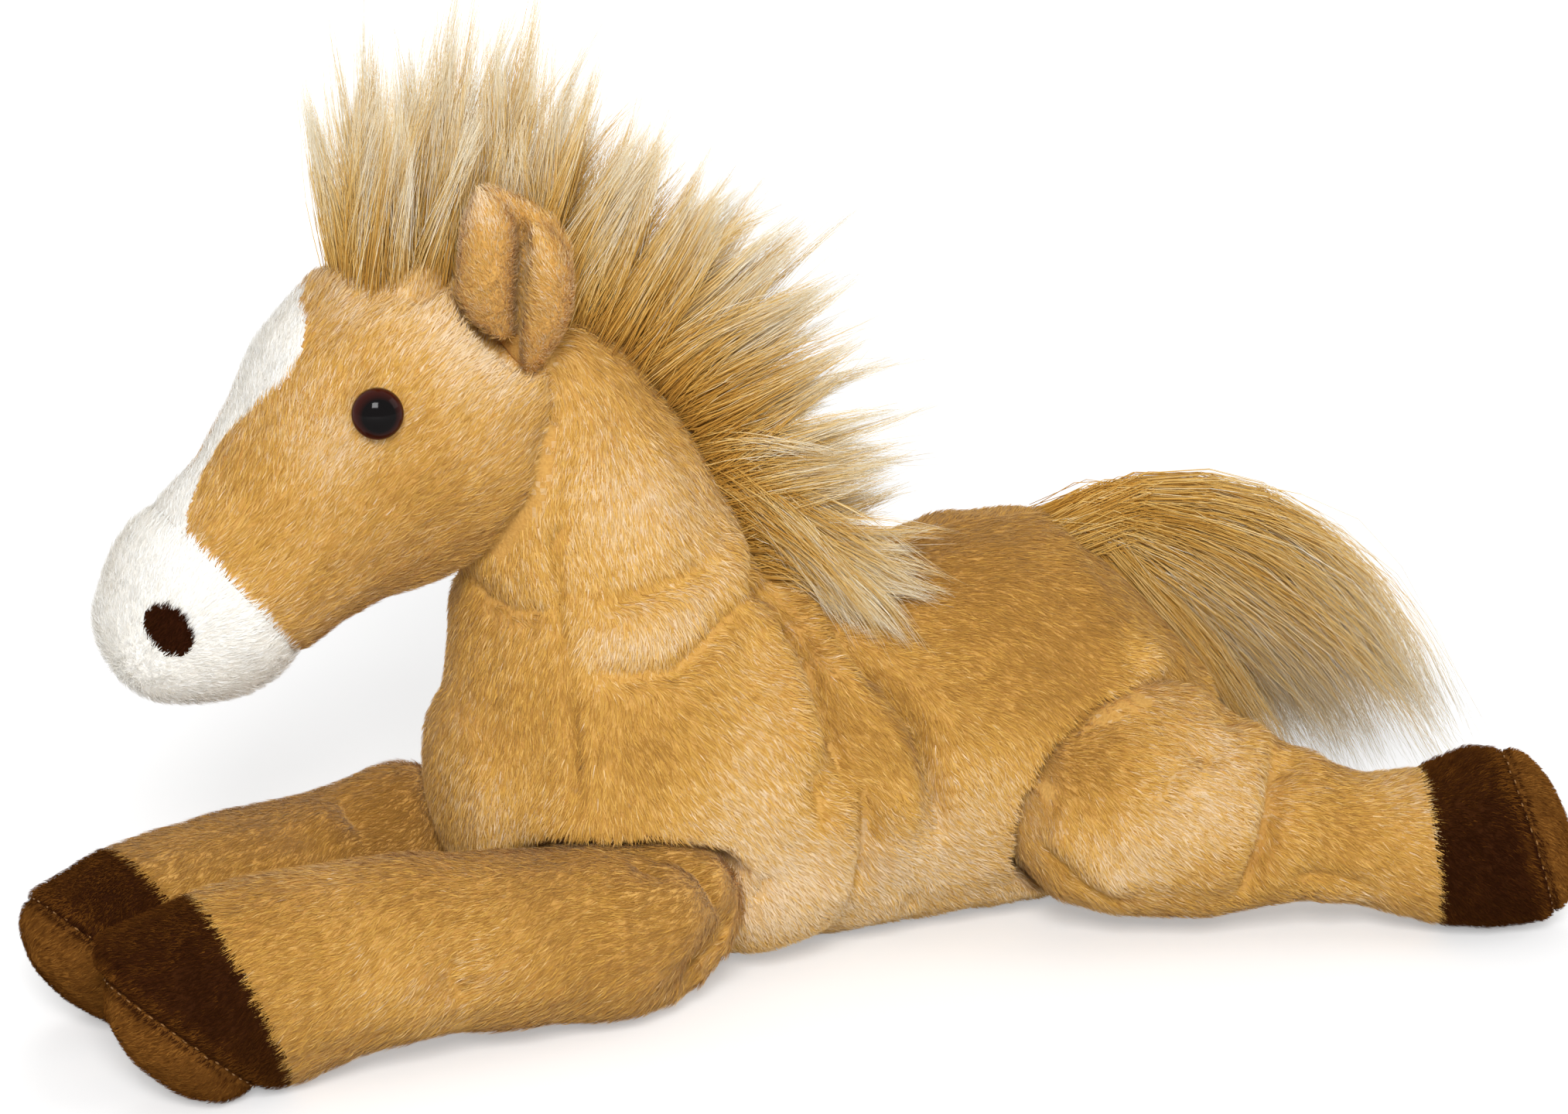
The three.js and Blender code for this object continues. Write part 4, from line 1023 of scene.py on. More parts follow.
def seam_through(tree, pixels, seam):
    """A seam's plane, turned as little as it takes to pass along a line of pixels on the skin."""
    line = on_skin(tree, pixels) if pixels else []
    if len(line) < 3:
        return seam
    along = Vector(line[-1] - line[0]).normalized()
    normal = seam[1] - along * seam[1].dot(along)
    return Vector(line.mean(0)), normal.normalized()


# How pale each leg's pile is: its own tone, deeper on the far legs as painted shade.
LEG_TONE_AND_SHADE = {"foreleg_left": 0.22, "foreleg_right": 0.1, "hindleg_left": 0.4, "hindleg_right": 0.34}

NAP_DROP = {"foreleg": 0.35, "hindleg": 0.6}
legs = {}
for side in SIDES:
    for kind in ("foreleg", "hindleg"):
        name = f"{kind}_{SIDE_NAME[side]}"
        hoof, sole = f"{name}_hoof", f"{name}_sole"
        skin = skin_of(f"{name}_skin", [name, hoof, sole], LEG_VOXEL, LEG_SMOOTHING)
        lumps(skin, *LEG_LUMPS, 31 + side)
        swells(skin, LEG_SWELLS.get(name, ()))
        courses = crease(skin, LEG_FOLDS.get(name, ()), mirrored=False)
        hoof_seam = seam_plane(name, hoof)
        sole_seam = seam_through(tree_of(skin), SOLE_LINES.get(name), seam_plane(hoof, sole))
        groove(skin, hoof_seam, *HOOF_GROOVE)
        bulge(skin, sole_seam, SOLE_BULGE[kind])
        groove(skin, sole_seam, *SOLE_GROOVE)
        legs[name] = {
            "skin": skin, "hoof_seam": hoof_seam, "sole_seam": sole_seam, "courses": courses,
            "drop": NAP_DROP[kind],
        }


# The body's skin comes last, because it stays clear of the legs wherever they turn.

TURN_STEPS = 4


def turned(skin, joint):
    """What a skin fills as its joint turns, as what stay_clear needs to know of it."""
    made = []
    points = coords(skin)
    faces = [tuple(p.vertices) for p in skin.data.polygons]
    origin = np.array(joint["pos_m"])
    low, high = joint["range_deg"]
    for step in range(TURN_STEPS):
        angle = math.radians(lerp(low, high, step / (TURN_STEPS - 1)))
        turn = Matrix.Rotation(angle, 3, Vector(joint["axis"]))
        moved = (points - origin) @ np.array(turn).T + origin
        tree = BVHTree.FromPolygons([Vector(p) for p in moved], faces)
        made.append((tree, moved.min(0), moved.max(0)))
    return made


body_fillers = [(in_frame(middle), in_frame(radii)) for side in SIDES for middle, radii in BODY_FILLERS[side]]
body_skin = skin_of("body_skin", BODY_NODES, BODY_VOXEL, BODY_SMOOTHING, body_fillers)
lumps(body_skin, *BODY_LUMPS, 11)
body_courses = crease(body_skin, BODY_FOLDS)
for joint in frame["joints"]:
    if joint["child"] in legs:
        stay_clear(body_skin, turned(legs[joint["child"]]["skin"], joint), CLEARANCE)
low_points = coords(body_skin)
low_points[:, 2] = np.maximum(low_points[:, 2], SKIN_LOW)
set_coords(body_skin, low_points)


# Coats. Each coat stays clear of the pieces on other bodies.

beside_limbs = [neighbour(leg["skin"]) for leg in legs.values()] + [neighbour(head_skin)]
body_tree = tree_of(body_skin)
# The patches' field: the pile's own tone, with painted highlight and shade.
body_tone_and_light = field_of(body_tree, BODY_TONE_AND_LIGHT_PATCHES)
BODY_MOTTLE = (0.42, 0.1, 34 * MM, 51)
HEAD_MOTTLE = (0.52, 0.08, 26 * MM, 52)
WHITE_MOTTLE = (0.62, 0.1, 20 * MM, 53)
EAR_MOTTLE = (0.62, 0.12, 18 * MM, 55)
LEG_MOTTLE = (0.1, 30 * MM, 54)
HOOF_MOTTLE = (0.1, 6 * MM, 56)
SOLE_MOTTLE = (0.1, 6 * MM, 57)
NOSTRIL_TONE = 0.4

# Where the pale belly starts and is full, by height and along the horse, and the same for the back's
# painted shade.
BELLY_HEIGHTS = (40 * MM, 12 * MM)
BELLY_START = (-60 * MM, -30 * MM)
BACK_SHADE_HEIGHTS = (35 * MM, 60 * MM)
BACK_SHADE_START = (-10 * MM, 30 * MM)
BELLY_PALER = 0.15
BACK_PAINTED_SHADE = 0.14
BODY_PATCH_STRENGTH = 0.95
HEAD_PATCH_STRENGTH = 0.9
LEG_PATCH_STRENGTH = 1.2


def body_tint(points, _):
    """How pale the body's pile is: its own tone, with painted highlight and shade from the patches, and
    painted shade on the back and in the folds.
    """
    low = ramp(points[:, 2], *BELLY_HEIGHTS) * ramp(points[:, 0], *BELLY_START)
    # the top of the back is painted deeper, as shade
    back = ramp(points[:, 0], *BACK_SHADE_START) * ramp(points[:, 2], *BACK_SHADE_HEIGHTS)
    shade = mottle(points, *BODY_MOTTLE) + BELLY_PALER * low - BACK_PAINTED_SHADE * back
    return shade + BODY_PATCH_STRENGTH * body_tone_and_light(points) + painted_fold_shade(points, body_courses)


DENSITY = 5.8  # blades on a square millimetre
FINE_DENSITY = DENSITY * 1.3  # of the ears, hooves and soles
NOSTRIL_DENSITY = DENSITY * 2.5
PILE_LENGTH = 2.9 * MM
WHITE_PILE_LENGTH = 2.4 * MM
EAR_PILE_LENGTH = 2.0 * MM
HOOF_PILE_LENGTH = 1.7 * MM
SOLE_PILE_LENGTH = 1.5 * MM
STEEP = 0.8  # how steeply short pile stands, in radians
MUZZLE_LIFT = 0.7
EAR_LIFT = 0.85

pile(
    "body_pile", "torso", body_skin, TAN_FIBRES, body_flow, body_tint, PILE_LENGTH, DENSITY, 100,
    beside_limbs,
)

head_tone_and_light = field_of(tree_of(head_skin), HEAD_TONE_AND_LIGHT_PATCHES)

# The blaze's edge in the photograph, from its top to the muzzle.
BLAZE_EDGE = [
    (352, 380), (378, 386), (391, 402), (394, 424), (388, 463), (366, 498), (322, 534), (285, 571),
    (258, 618), (240, 668), (240, 700),
]
BLAZE_FAR_SPREAD = 30  # pixels, reached at so far beyond the middle
BLAZE_FAR_START = 4 * MM


def to_pixels(points):
    """The pixels of the photograph at which points are seen."""
    seen = camera.rotation_quaternion.to_matrix().transposed()
    local = (points - np.array(camera.location)) @ np.array(seen).T
    scale = LENS / SENSOR_WIDTH * IMAGE_WIDTH
    across = local[:, 0] / -local[:, 2] * scale + IMAGE_WIDTH / 2
    return np.stack([across, IMAGE_HEIGHT / 2 - local[:, 1] / -local[:, 2] * scale], axis=1)


def is_white(points):
    """Whether points of the head lie on the muzzle or the blaze. The far side is a little wider."""
    pixels = to_pixels(on_near_side(points))
    edge = np.array(BLAZE_EDGE, float)
    limit = np.interp(pixels[:, 1], edge[:, 1], edge[:, 0], left=-1, right=-1)
    limit += BLAZE_FAR_SPREAD * ramp(points[:, 1], 0, BLAZE_FAR_START) * (limit > 0)
    return (past(points, muzzle_seam) > 0) | (pixels[:, 0] < limit)


def head_tint(points, _):
    """How pale the head's tan pile is: its own tone, with painted highlight and shade from the patches."""
    return mottle(points, *HEAD_MOTTLE) + HEAD_PATCH_STRENGTH * head_tone_and_light(points)


def white_tint(points, _):
    """How pale the white pile is."""
    return mottle(points, *WHITE_MOTTLE)


# The near nostril's patch in the photograph: its middle, half sizes and the lean of its long side.
NOSTRIL_PIXEL = (216, 817)
NOSTRIL_HALF_SIZES = (37, 25)
NOSTRIL_LEAN = math.radians(50)
NOSTRIL_INNER = 4 * MM  # how near the middle it may come


def in_nostril(points):
    """Whether points of the muzzle lie in a nostril's patch."""
    away = to_pixels(on_near_side(points)) - np.array(NOSTRIL_PIXEL)
    along = away[:, 0] * math.cos(NOSTRIL_LEAN) + away[:, 1] * math.sin(NOSTRIL_LEAN)
    across = away[:, 1] * math.cos(NOSTRIL_LEAN) - away[:, 0] * math.sin(NOSTRIL_LEAN)
    patch = (along / NOSTRIL_HALF_SIZES[0]) ** 2 + (across / NOSTRIL_HALF_SIZES[1]) ** 2 < 1
    return patch & (np.abs(points[:, 1]) > NOSTRIL_INNER)


def clear_of_eyes(points):
    """Whether points of the head lie outside the eyes."""
    clear = np.ones(len(points), bool)
    for rim, out in EYES:
        clear &= np.linalg.norm(points - np.array(rim), axis=1) > EYE_RADIUS * EYE_BARE_SHARE
    return clear


beside_body = [neighbour(body_skin)]
pile(
    "head_pile", "head", head_skin, TAN_FIBRES, head_flow, head_tint, PILE_LENGTH, DENSITY, 200,
    beside_body, keep=lambda p: ~is_white(p) & clear_of_eyes(p),
)
pile(
    "muzzle_pile", "head", head_skin, WHITE_FIBRES, head_flow, white_tint, WHITE_PILE_LENGTH,
    DENSITY, 220, keep=lambda p: is_white(p) & ~in_nostril(p), lift=MUZZLE_LIFT,
)
pile(
    "nostril_pile", "head", head_skin, NOSTRIL_FIBRES, head_flow,
    lambda p, n: np.full(len(p), NOSTRIL_TONE), WHITE_PILE_LENGTH, NOSTRIL_DENSITY, 240, keep=in_nostril,
    lift=STEEP,
)

# The hoof's painted sheen, a brown edge along the sole's seam: from how far off it starts to where it is
# full, and the painted shade of the seam's groove itself. The sole has such painted shade too.
HOOF_SHEEN_EDGE = (5.5 * MM, 2.0 * MM)
HOOF_SEAM_SHADE = (0.7 * MM, 1.6 * MM)
HOOF_LIT_TOP = (0.3, 0.9)  # the normal's height where the hoof's top gets browner as painted light, and where it is fully so
SOLE_SEAM_SHADE = (0.5 * MM, 1.8 * MM)
HOOF_TONES = (0.16, 0.45, 0.3)  # the middle's, and how much paler the painted sheen of the edge and the painted light of the top are
SOLE_TONES = (0.02, 0.6)  # the seam's painted shade, and how much paler the rest is
HOOF_END = -0.4 * MM  # where the hoof's pile ends before the sole's seam, and the sole's starts behind it
SOLE_START = 0.3 * MM


def coat_leg(name, leg):
    """The coats of a leg, its hoof and its sole. Returns how pale the leg's own one is."""
    patches = field_of(tree_of(leg["skin"]), LEG_TONE_AND_LIGHT_PATCHES.get(name, ()), mirrored=False)
    hoof_seam, sole_seam = leg["hoof_seam"], leg["sole_seam"]
    axis = Vector((hoof_seam[1].x, hoof_seam[1].y, 0)).normalized()
    flow = np.array(axis) - np.array([0, 0, leg["drop"]])

    def leg_tint(points, _):
        """The leg is paler or deeper in its patches, partly as painted highlight and shade, and deeper in its
        folds as painted shade.
        """
        shade = mottle(points, LEG_TONE_AND_SHADE[name], *LEG_MOTTLE) + LEG_PATCH_STRENGTH * patches(points)
        return shade + painted_fold_shade(points, leg["courses"])

    def hoof_tint(points, normals):
        """The hoof is darkest in its middle, browner towards its edges and top as painted sheen and light,
        and dark along the seam as painted shade.
        """
        away = np.abs(past(points, sole_seam))
        # the painted sheen band, with the seam's painted shade cut out of it
        edge = ramp(away, *HOOF_SHEEN_EDGE) * ramp(away, *HOOF_SEAM_SHADE)
        # painted light on the upward faces
        top = ramp(normals[:, 2], *HOOF_LIT_TOP)
        middle, painted_sheen_edge, painted_lit_top = HOOF_TONES
        return mottle(points, middle + painted_sheen_edge * edge + painted_lit_top * top, *HOOF_MOTTLE)

    def sole_tint(points, _):
        """The sole is dark along its seam, as painted shade in the groove."""
        # the seam's painted shade
        line = ramp(np.abs(past(points, sole_seam)), *SOLE_SEAM_SHADE)
        return mottle(points, SOLE_TONES[0] + SOLE_TONES[1] * line, *SOLE_MOTTLE)

    def leg_flow(*_):
        """The nap runs down the leg."""
        return flow

    pile(
        f"{name}_pile", name, leg["skin"], TAN_FIBRES, leg_flow, leg_tint, PILE_LENGTH, DENSITY,
        300, beside_body, keep=lambda p: past(p, hoof_seam) < 0,
    )
    pile(
        f"{name}_hoof_pile", name, leg["skin"], DARK_FIBRES, leg_flow, hoof_tint,
        HOOF_PILE_LENGTH, FINE_DENSITY, 320, lift=STEEP,
        keep=lambda p: (past(p, hoof_seam) > 0) & (past(p, sole_seam) < HOOF_END),
    )
    pile(
        f"{name}_sole_pile", name, leg["skin"], SOLE_FIBRES, leg_flow, sole_tint,
        SOLE_PILE_LENGTH, FINE_DENSITY, 340, lift=STEEP, keep=lambda p: past(p, sole_seam) > SOLE_START,
    )
    return leg_tint


for name, leg in legs.items():
    leg["tint"] = coat_leg(name, leg)


# Stitches along the seams of the soles.

THREAD = fibre_materials("sole_thread", [(150, 104, 52)], roughness=0.6)[0]
STITCH_STEP = 2.6 * MM
STITCH_LENGTH = 1.0 * MM
STITCH_RADIUS = 0.15 * MM
STITCH_RISE = 0.55 * MM  # how far the stitches lie above the skin, in the pile
RING_RAYS = 120
RING_REACH = 0.06


def seam_ring(tree, point, normal):
    """The closed line where a plane meets the outside of a skin, at even steps."""
    normal = Vector(normal).normalized()
    first = normal.orthogonal().normalized()
    second = normal.cross(first)
    ring = []
    for k in range(RING_RAYS + 1):
        angle = k / RING_RAYS * math.tau
        way = first * math.cos(angle) + second * math.sin(angle)
        place = tree.ray_cast(Vector(point) + way * RING_REACH, -way)[0]
        if place is not None:
            ring.append(place)
    return along_line(ring, STITCH_STEP)


def stitches(name, body, skin, seam):
    """Small rounded stitches that ride on a body."""
    tree = tree_of(skin)
    ring = seam_ring(tree, *seam)
    made = bmesh.new()
    size = Matrix.Diagonal((STITCH_RADIUS, STITCH_RADIUS, STITCH_LENGTH / 2, 1))
    for before, here, after in zip(np.roll(ring, 1, axis=0), ring, np.roll(ring, -1, axis=0)):
        turn = Vector(after - before).normalized().to_track_quat("Z", "Y").to_matrix().to_4x4()
        place = Matrix.Translation(Vector(here) + tree.find_nearest(here)[1] * STITCH_RISE)
        bmesh.ops.create_uvsphere(made, u_segments=8, v_segments=6, radius=1, matrix=place @ turn @ size)
    obj = from_bmesh(name, made)
    obj.data.materials.append(THREAD)
    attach(obj, body)


for name, leg in legs.items():
    stitches(f"{name}_stitches", name, leg["skin"], leg["sole_seam"])


# Skins' finish: cut at their seams, coloured, and set on their bodies.


def finish_skin(obj, body, material, nodes):
    """Colours a skin, sets it on its body and lets it stand for its solids."""
    obj.data.materials.clear()
    obj.data.materials.append(material)
    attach(obj, body)
    if nodes:
        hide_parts(*nodes)


finish_skin(body_skin, "torso", TAN_BACKING, BODY_NODES)
head_skin, muzzle_skin = cut_off(head_skin, "muzzle_skin", *muzzle_seam)
hidden = ["eye_washer_left", "eye_washer_right"]
finish_skin(head_skin, "head", TAN_BACKING, ["head", "blaze_panel"] + hidden)
muzzle_nodes = ["muzzle", "nostril_left", "nostril_right"]
finish_skin(muzzle_skin, "head", WHITE_BACKING, muzzle_nodes)


PALE_TINT = 0.62
PALE_SCATTER = 0.12  # how unevenly the two backings give way to each other
backing_rng = np.random.default_rng([SEED, 71])


def is_pale(tint):
    """Whether faces of a skin carry pale pile, with an uneven edge."""
    return tint + backing_rng.normal(0, PALE_SCATTER, len(tint)) > PALE_TINT


def add_material(obj, material, where):
    """Gives the faces of a skin where a test holds one more material."""
    obj.data.materials.append(material)
    numbers = read(obj.data.polygons, "material_index", 1, np.int32).ravel()
    numbers[where(read(obj.data.polygons, "center", 3))] = len(obj.data.materials) - 1
    obj.data.polygons.foreach_set("material_index", numbers)


# The pale backing follows the pile's tints, painted highlight and shade included.
add_material(body_skin, PALE_BACKING, lambda p: is_pale(body_tint(p, None)))
add_material(head_skin, PALE_BACKING, lambda p: is_pale(head_tint(p, None)))
add_material(head_skin, WHITE_BACKING, is_white)
add_material(muzzle_skin, DARK_BACKING, in_nostril)

for name, leg in legs.items():
    leg_skin, hoof_skin = cut_off(leg["skin"], f"{name}_hoof_skin", *leg["hoof_seam"])
    hoof_skin, sole_skin = cut_off(hoof_skin, f"{name}_sole_skin", *leg["sole_seam"])
    finish_skin(leg_skin, name, TAN_BACKING, [name])
    add_material(leg_skin, PALE_BACKING, lambda p: is_pale(leg["tint"](p, None)))
    finish_skin(hoof_skin, name, DARK_BACKING, [f"{name}_hoof"])
    finish_skin(sole_skin, name, SOLE_BACKING, [f"{name}_sole"])


# Eyes.


EYE_BACK = -1.5 * MM
EYE_BEVEL = -0.6 * MM  # where the rim starts, and where the dome starts
EYE_RIM = 0.3 * MM
EYE_BACK_SHARE = 0.9
EYE_RINGS = 14
EYE_SEGMENTS = 56
EYE_BLACK = (8, 5, 5)
EYE_RED_BROWN = (62, 20, 12)


def eye_material():
    """A polished eye: black in the middle, with a dark red-brown rim."""
    material, tree, shader = new_material("eye_gloss", roughness=0.08, specular=0.1)
    place = add_node(tree, "ShaderNodeTexCoord").outputs["Object"]
    flat = add_node(tree, "ShaderNodeVectorMath", [(0, place), (1, (1, 1, 0))], operation="MULTIPLY")
    size = add_node(tree, "ShaderNodeVectorMath", [(0, flat.outputs["Vector"])], operation="LENGTH")
    parts = [(0, size.outputs["Value"]), (1, EYE_RADIUS)]
    share = add_node(tree, "ShaderNodeMath", parts, operation="DIVIDE").outputs["Value"]
    colour = colour_between(tree, share, (0.62, EYE_BLACK), (0.95, EYE_RED_BROWN))
    tree.links.new(colour, shader.inputs["Base Color"])
    return material


def close_rows(made, rows):
    """Adds the faces between rows of points, each of which goes all the way round or is a single point."""
    count = max(len(row) for row in rows)
    for low, high in zip(rows, rows[1:]):
        for k in range(count):
            after = (k + 1) % count
            corners = [low[k % len(low)], low[after % len(low)], high[after % len(high)], high[k % len(high)]]
            made.faces.new(list(dict.fromkeys(corners)))


def eye(side, material):
    """A domed button with a rounded rim, closed behind."""
    made = bmesh.new()
    profile = [(EYE_RADIUS * EYE_BACK_SHARE, EYE_BACK), (EYE_RADIUS, EYE_BEVEL), (EYE_RADIUS, EYE_RIM)]
    for k in range(1, EYE_RINGS):
        angle = k / EYE_RINGS * math.pi / 2
        profile.append((EYE_RADIUS * math.cos(angle), EYE_RIM + (EYE_DOME - EYE_RIM) * math.sin(angle)))
    turns = [k / EYE_SEGMENTS * math.tau for k in range(EYE_SEGMENTS)]
    rows = [[made.verts.new((0, 0, EYE_BACK))]]
    for radius, height in profile:
        rows.append([made.verts.new((radius * math.cos(a), radius * math.sin(a), height)) for a in turns])
    rows.append([made.verts.new((0, 0, EYE_DOME))])
    close_rows(made, rows)
    bmesh.ops.recalc_face_normals(made, faces=made.faces[:])
    name = f"eye_{SIDE_NAME[side]}"
    obj = from_bmesh(f"{name}_button", made)
    rim, out = eye_place(side)
    turn = out.to_track_quat("Z", "Y").to_matrix().to_4x4()
    obj.matrix_world = Matrix.Translation(rim - out * EYE_DEPTH) @ turn
    obj.data.materials.append(material)
    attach(obj, "head")
    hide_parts(name)


gloss = eye_material()
for side in SIDES:
    eye(side, gloss)


# Ears: a folded leaf. Two plump lobes meet at a slit, and a sheet behind joins them. Each is a row of
# stations: the pixel of its middle, its half width in pixels, and in millimetres its half thickness
# and how far it stands out of the ear's middle.

EAR_VOXEL = 0.6 * MM
EAR_SMOOTHING = 3
LOBE_SIDES = 26
EAR_INSET = 0.4 * MM
EAR_PALE = (8 * MM, 16 * MM)  # how far up from its middle the ear gets pale, and is fully so
EAR_LOBES = [
    [
        (621, 246, 6, 1.0, -0.6), (629, 262, 22, 3.2, 0.0), (631, 285, 33, 4.6, 0.6),
        (632, 315, 37, 5.4, 1.0), (630, 345, 38, 5.8, 1.2), (629, 375, 38, 5.8, 1.2),
        (635, 402, 32, 5.0, 1.0), (649, 424, 18, 3.8, 0.6), (657, 435, 8, 1.8, 0.2),
    ],
    [
        (694, 292, 10, 1.6, -0.6), (706, 312, 21, 3.6, 0.2), (712, 340, 29, 4.8, 0.8),
        (712, 370, 31, 5.2, 1.0), (709, 400, 31, 5.2, 1.0), (701, 430, 27, 4.8, 0.8),
        (691, 458, 18, 3.8, 0.4), (682, 479, 9, 1.8, 0.0),
    ],
    [
        (624, 248, 9, 1.2, -2.4), (646, 268, 32, 2.0, -3.2), (660, 295, 58, 2.4, -4.0),
        (664, 330, 73, 2.4, -4.6), (664, 370, 74, 2.4, -4.8), (668, 405, 65, 2.4, -4.6),
        (676, 440, 47, 2.4, -4.0), (682, 470, 27, 2.2, -3.0), (684, 487, 10, 1.4, -2.4),
    ],
]


def own_axes(node):
    """A solid's middle, and its main directions from the longest to the shortest."""
    points = coords(frame["nodes"][node])
    mean = points.mean(0)
    axes = np.linalg.svd(points - mean, full_matrices=False)[2]
    along = (points - mean) @ axes.T
    return mean + ((along.min(0) + along.max(0)) / 2) @ axes, axes


def on_plane(pixel, place, normal):
    """The point of a plane that lies under a pixel."""
    start, direction = camera_ray(pixel)
    return start + direction * ((Vector(place) - start).dot(normal) / direction.dot(normal))


def ear_lobe(made, stations, place, outward, side):
    """Adds a rounded lobe to a bmesh, read on the near ear and mirrored for the far one."""
    rows = []
    for x, y, wide, thick, out in stations:
        low, high = (on_plane((x + end * wide, y), place, outward) for end in (-1, 1))
        middle, half = (low + high) / 2, (high - low) / 2
        row = []
        for n in range(LOBE_SIDES):
            angle = n / LOBE_SIDES * math.tau
            point = middle + half * math.cos(angle) + outward * (out + thick * math.sin(angle)) * MM
            row.append(made.verts.new((point.x, point.y * -side, point.z)))
        rows.append(row)
    close_rows(made, rows)
    made.faces.new(rows[0])
    made.faces.new(rows[-1])


near_middle, near_axes = own_axes("ear_left")
near_outward = Vector(near_axes[2] * -np.sign(near_axes[2][1]))
beside_head = [neighbour(head_skin)]
for side in SIDES:
    ear_name = f"ear_{SIDE_NAME[side]}"
    middle, axes = own_axes(ear_name)
    lean = axes[0] * np.sign(axes[0][2])
    made = bmesh.new()
    for stations in EAR_LOBES:
        ear_lobe(made, stations, near_middle, near_outward, side)
    bmesh.ops.recalc_face_normals(made, faces=made.faces[:])
    ear_skin = remesh(from_bmesh(f"{ear_name}_skin", made), EAR_VOXEL, EAR_SMOOTHING, EAR_INSET)
    pile(
        f"{ear_name}_pile", ear_name, ear_skin, TAN_FIBRES, lambda p, n: np.tile(lean, (len(p), 1)),
        lambda p, n: mottle(p, *EAR_MOTTLE) + 0.25 * ramp(past(p, (middle, lean)), *EAR_PALE),
        EAR_PILE_LENGTH, FINE_DENSITY, 400, beside_head, lift=EAR_LIFT,
    )
    finish_skin(ear_skin, ear_name, TAN_BACKING, [ear_name])


# Mane and forelock. The root line in millimetres, x and z, with each place's hair length and its lean back
# in degrees.

FORELOCK_ROOTS = [
    (-89.5, 146.5, 48, -5), (-82.8, 148.5, 51, -1), (-75, 149, 54, 5), (-66.3, 148.5, 54, 11),
    (-57.6, 146.5, 52, 16), (-49, 141, 50, 21),
]
CREST_ROOTS = [
    (-49, 139, 49, 23), (-36.7, 131.5, 48, 35), (-29.8, 125.5, 46, 49), (-23.7, 117, 44, 62),
    (-19.3, 107.5, 42, 73), (-15, 97, 41, 80), (-11.5, 87, 44, 92), (-7.5, 80, 47, 110),
]
MANE_HALF_WIDTH = 8 * MM
MANE_CROWN = 3 * MM  # how much lower the strip's edges lie than its middle
MANE_ROWS = (-1.0, -0.66, -0.33, 0.0, 0.33, 0.66, 1.0)
GATHER_PULL = 0.5
MANE_TUFT = 7  # locks
TAIL_TUFT = 6


def mane_locks(roots, count, rng):
    """Locks in rows along a root line, each with its root, bend and tip."""
    table = np.array(roots, float)
    steps = np.linspace(0, len(table) - 1, count)
    made = []
    for row in MANE_ROWS:
        for step in steps:
            place = np.clip(step + rng.normal(0, 0.05), 0, len(table) - 1)
            x, z, length, lean = (np.interp(place, np.arange(len(table)), table[:, k]) for k in range(4))
            lean = math.radians(lean + rng.normal(0, 6))
            length *= rng.uniform(0.72, 1.1) * (1 - 0.12 * abs(row)) * MM
            direction = np.array([math.sin(lean), row * 0.3 + rng.normal(0, 0.09), math.cos(lean)])
            direction /= np.linalg.norm(direction)
            root = np.array([x * MM, row * MANE_HALF_WIDTH, z * MM - row**2 * MANE_CROWN])
            bow = np.array([-math.cos(lean), rng.normal(0, 0.4), math.sin(lean)])
            bow = bow * length * rng.normal(0.04, 0.06)
            made.append((root, root + direction * length * 0.5 + bow, root + direction * length))
    return made


def gather(locks, every, reach, rng):
    """Draws locks together into pointed tufts: every so many locks one leads, and the others lean to the
    tip of the nearest leader."""
    tips = np.array([tip for _, _, tip in locks])
    leaders = rng.choice(len(locks), len(locks) // every, replace=False)
    made = []
    for number, (root, bend, tip) in enumerate(locks):
        leader = leaders[np.argmin(((tips[leaders] - tip) ** 2).sum(1))]
        if leader == number:
            tip = root + (tip - root) * reach
        else:
            tip = tip + (tips[leader] - tip) * GATHER_PULL
        made.append((root, bend, tip))
    return made


STRAND_SHARE = 1.0
rng = np.random.default_rng([SEED, 61])
forelock_locks = gather(mane_locks(FORELOCK_ROOTS, 19, rng), MANE_TUFT, 1.14, rng)
crest_locks = gather(mane_locks(CREST_ROOTS, 42, rng), MANE_TUFT, 1.16, rng)

# The last locks of the mane fall down the shoulder. Pixels of their tips, and how far these lie off the skin.
SIDE_TIPS = [
    (1085, 748), (1112, 782), (1135, 808), (1160, 835), (1182, 850), (1198, 820), (1208, 785), (1218, 748),
]
SIDE_TIP_RISE = 3.5 * MM
TIP_SPREAD = 2.4 * MM
SIDE_ROOTS = in_frame([(-21, 6, 108), (-7, 5, 80)])
for tip in on_skin(body_tree, SIDE_TIPS, step=20):
    for side in SIDES:
        for n in range(4):
            root = lerp(SIDE_ROOTS[0], SIDE_ROOTS[1], rng.uniform()) * np.array([1, side, 1])
            end = tip * np.array([1, -side, 1]) + np.array([0, side * SIDE_TIP_RISE, 0])
            end = end + rng.normal(0, TIP_SPREAD, 3)
            end = root + (end - root) * rng.uniform(0.72, 1.08)
            bend = (root + end) / 2 + in_frame([4, side * 5, 5])
            crest_locks.append((root, bend, end))

# The spreads of the roots and the tips, and the frizz.
FORELOCK_SPREADS = (1.8 * MM, 0.4 * MM, 0.45 * MM)
CREST_SPREADS = (1.8 * MM, 0.42 * MM, 0.6 * MM)
TAIL_SPREADS = (1.7 * MM, 0.6 * MM, 0.9 * MM)

forelock_strands, crest_strands, tail_strands = (int(count * STRAND_SHARE) for count in (60, 54, 74))
forelock = hair("forelock_hair", "head", forelock_locks, forelock_strands, FORELOCK_SPREADS, 62, (0.04, 0.9))
crest = hair("mane_hair", "torso", crest_locks, crest_strands, CREST_SPREADS, 63, (0.04, 0.86))
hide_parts("mane_forelock")
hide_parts("mane_crest")


# Tail. Each line bends towards one pixel and ends at another, in the plane between the horse's sides.

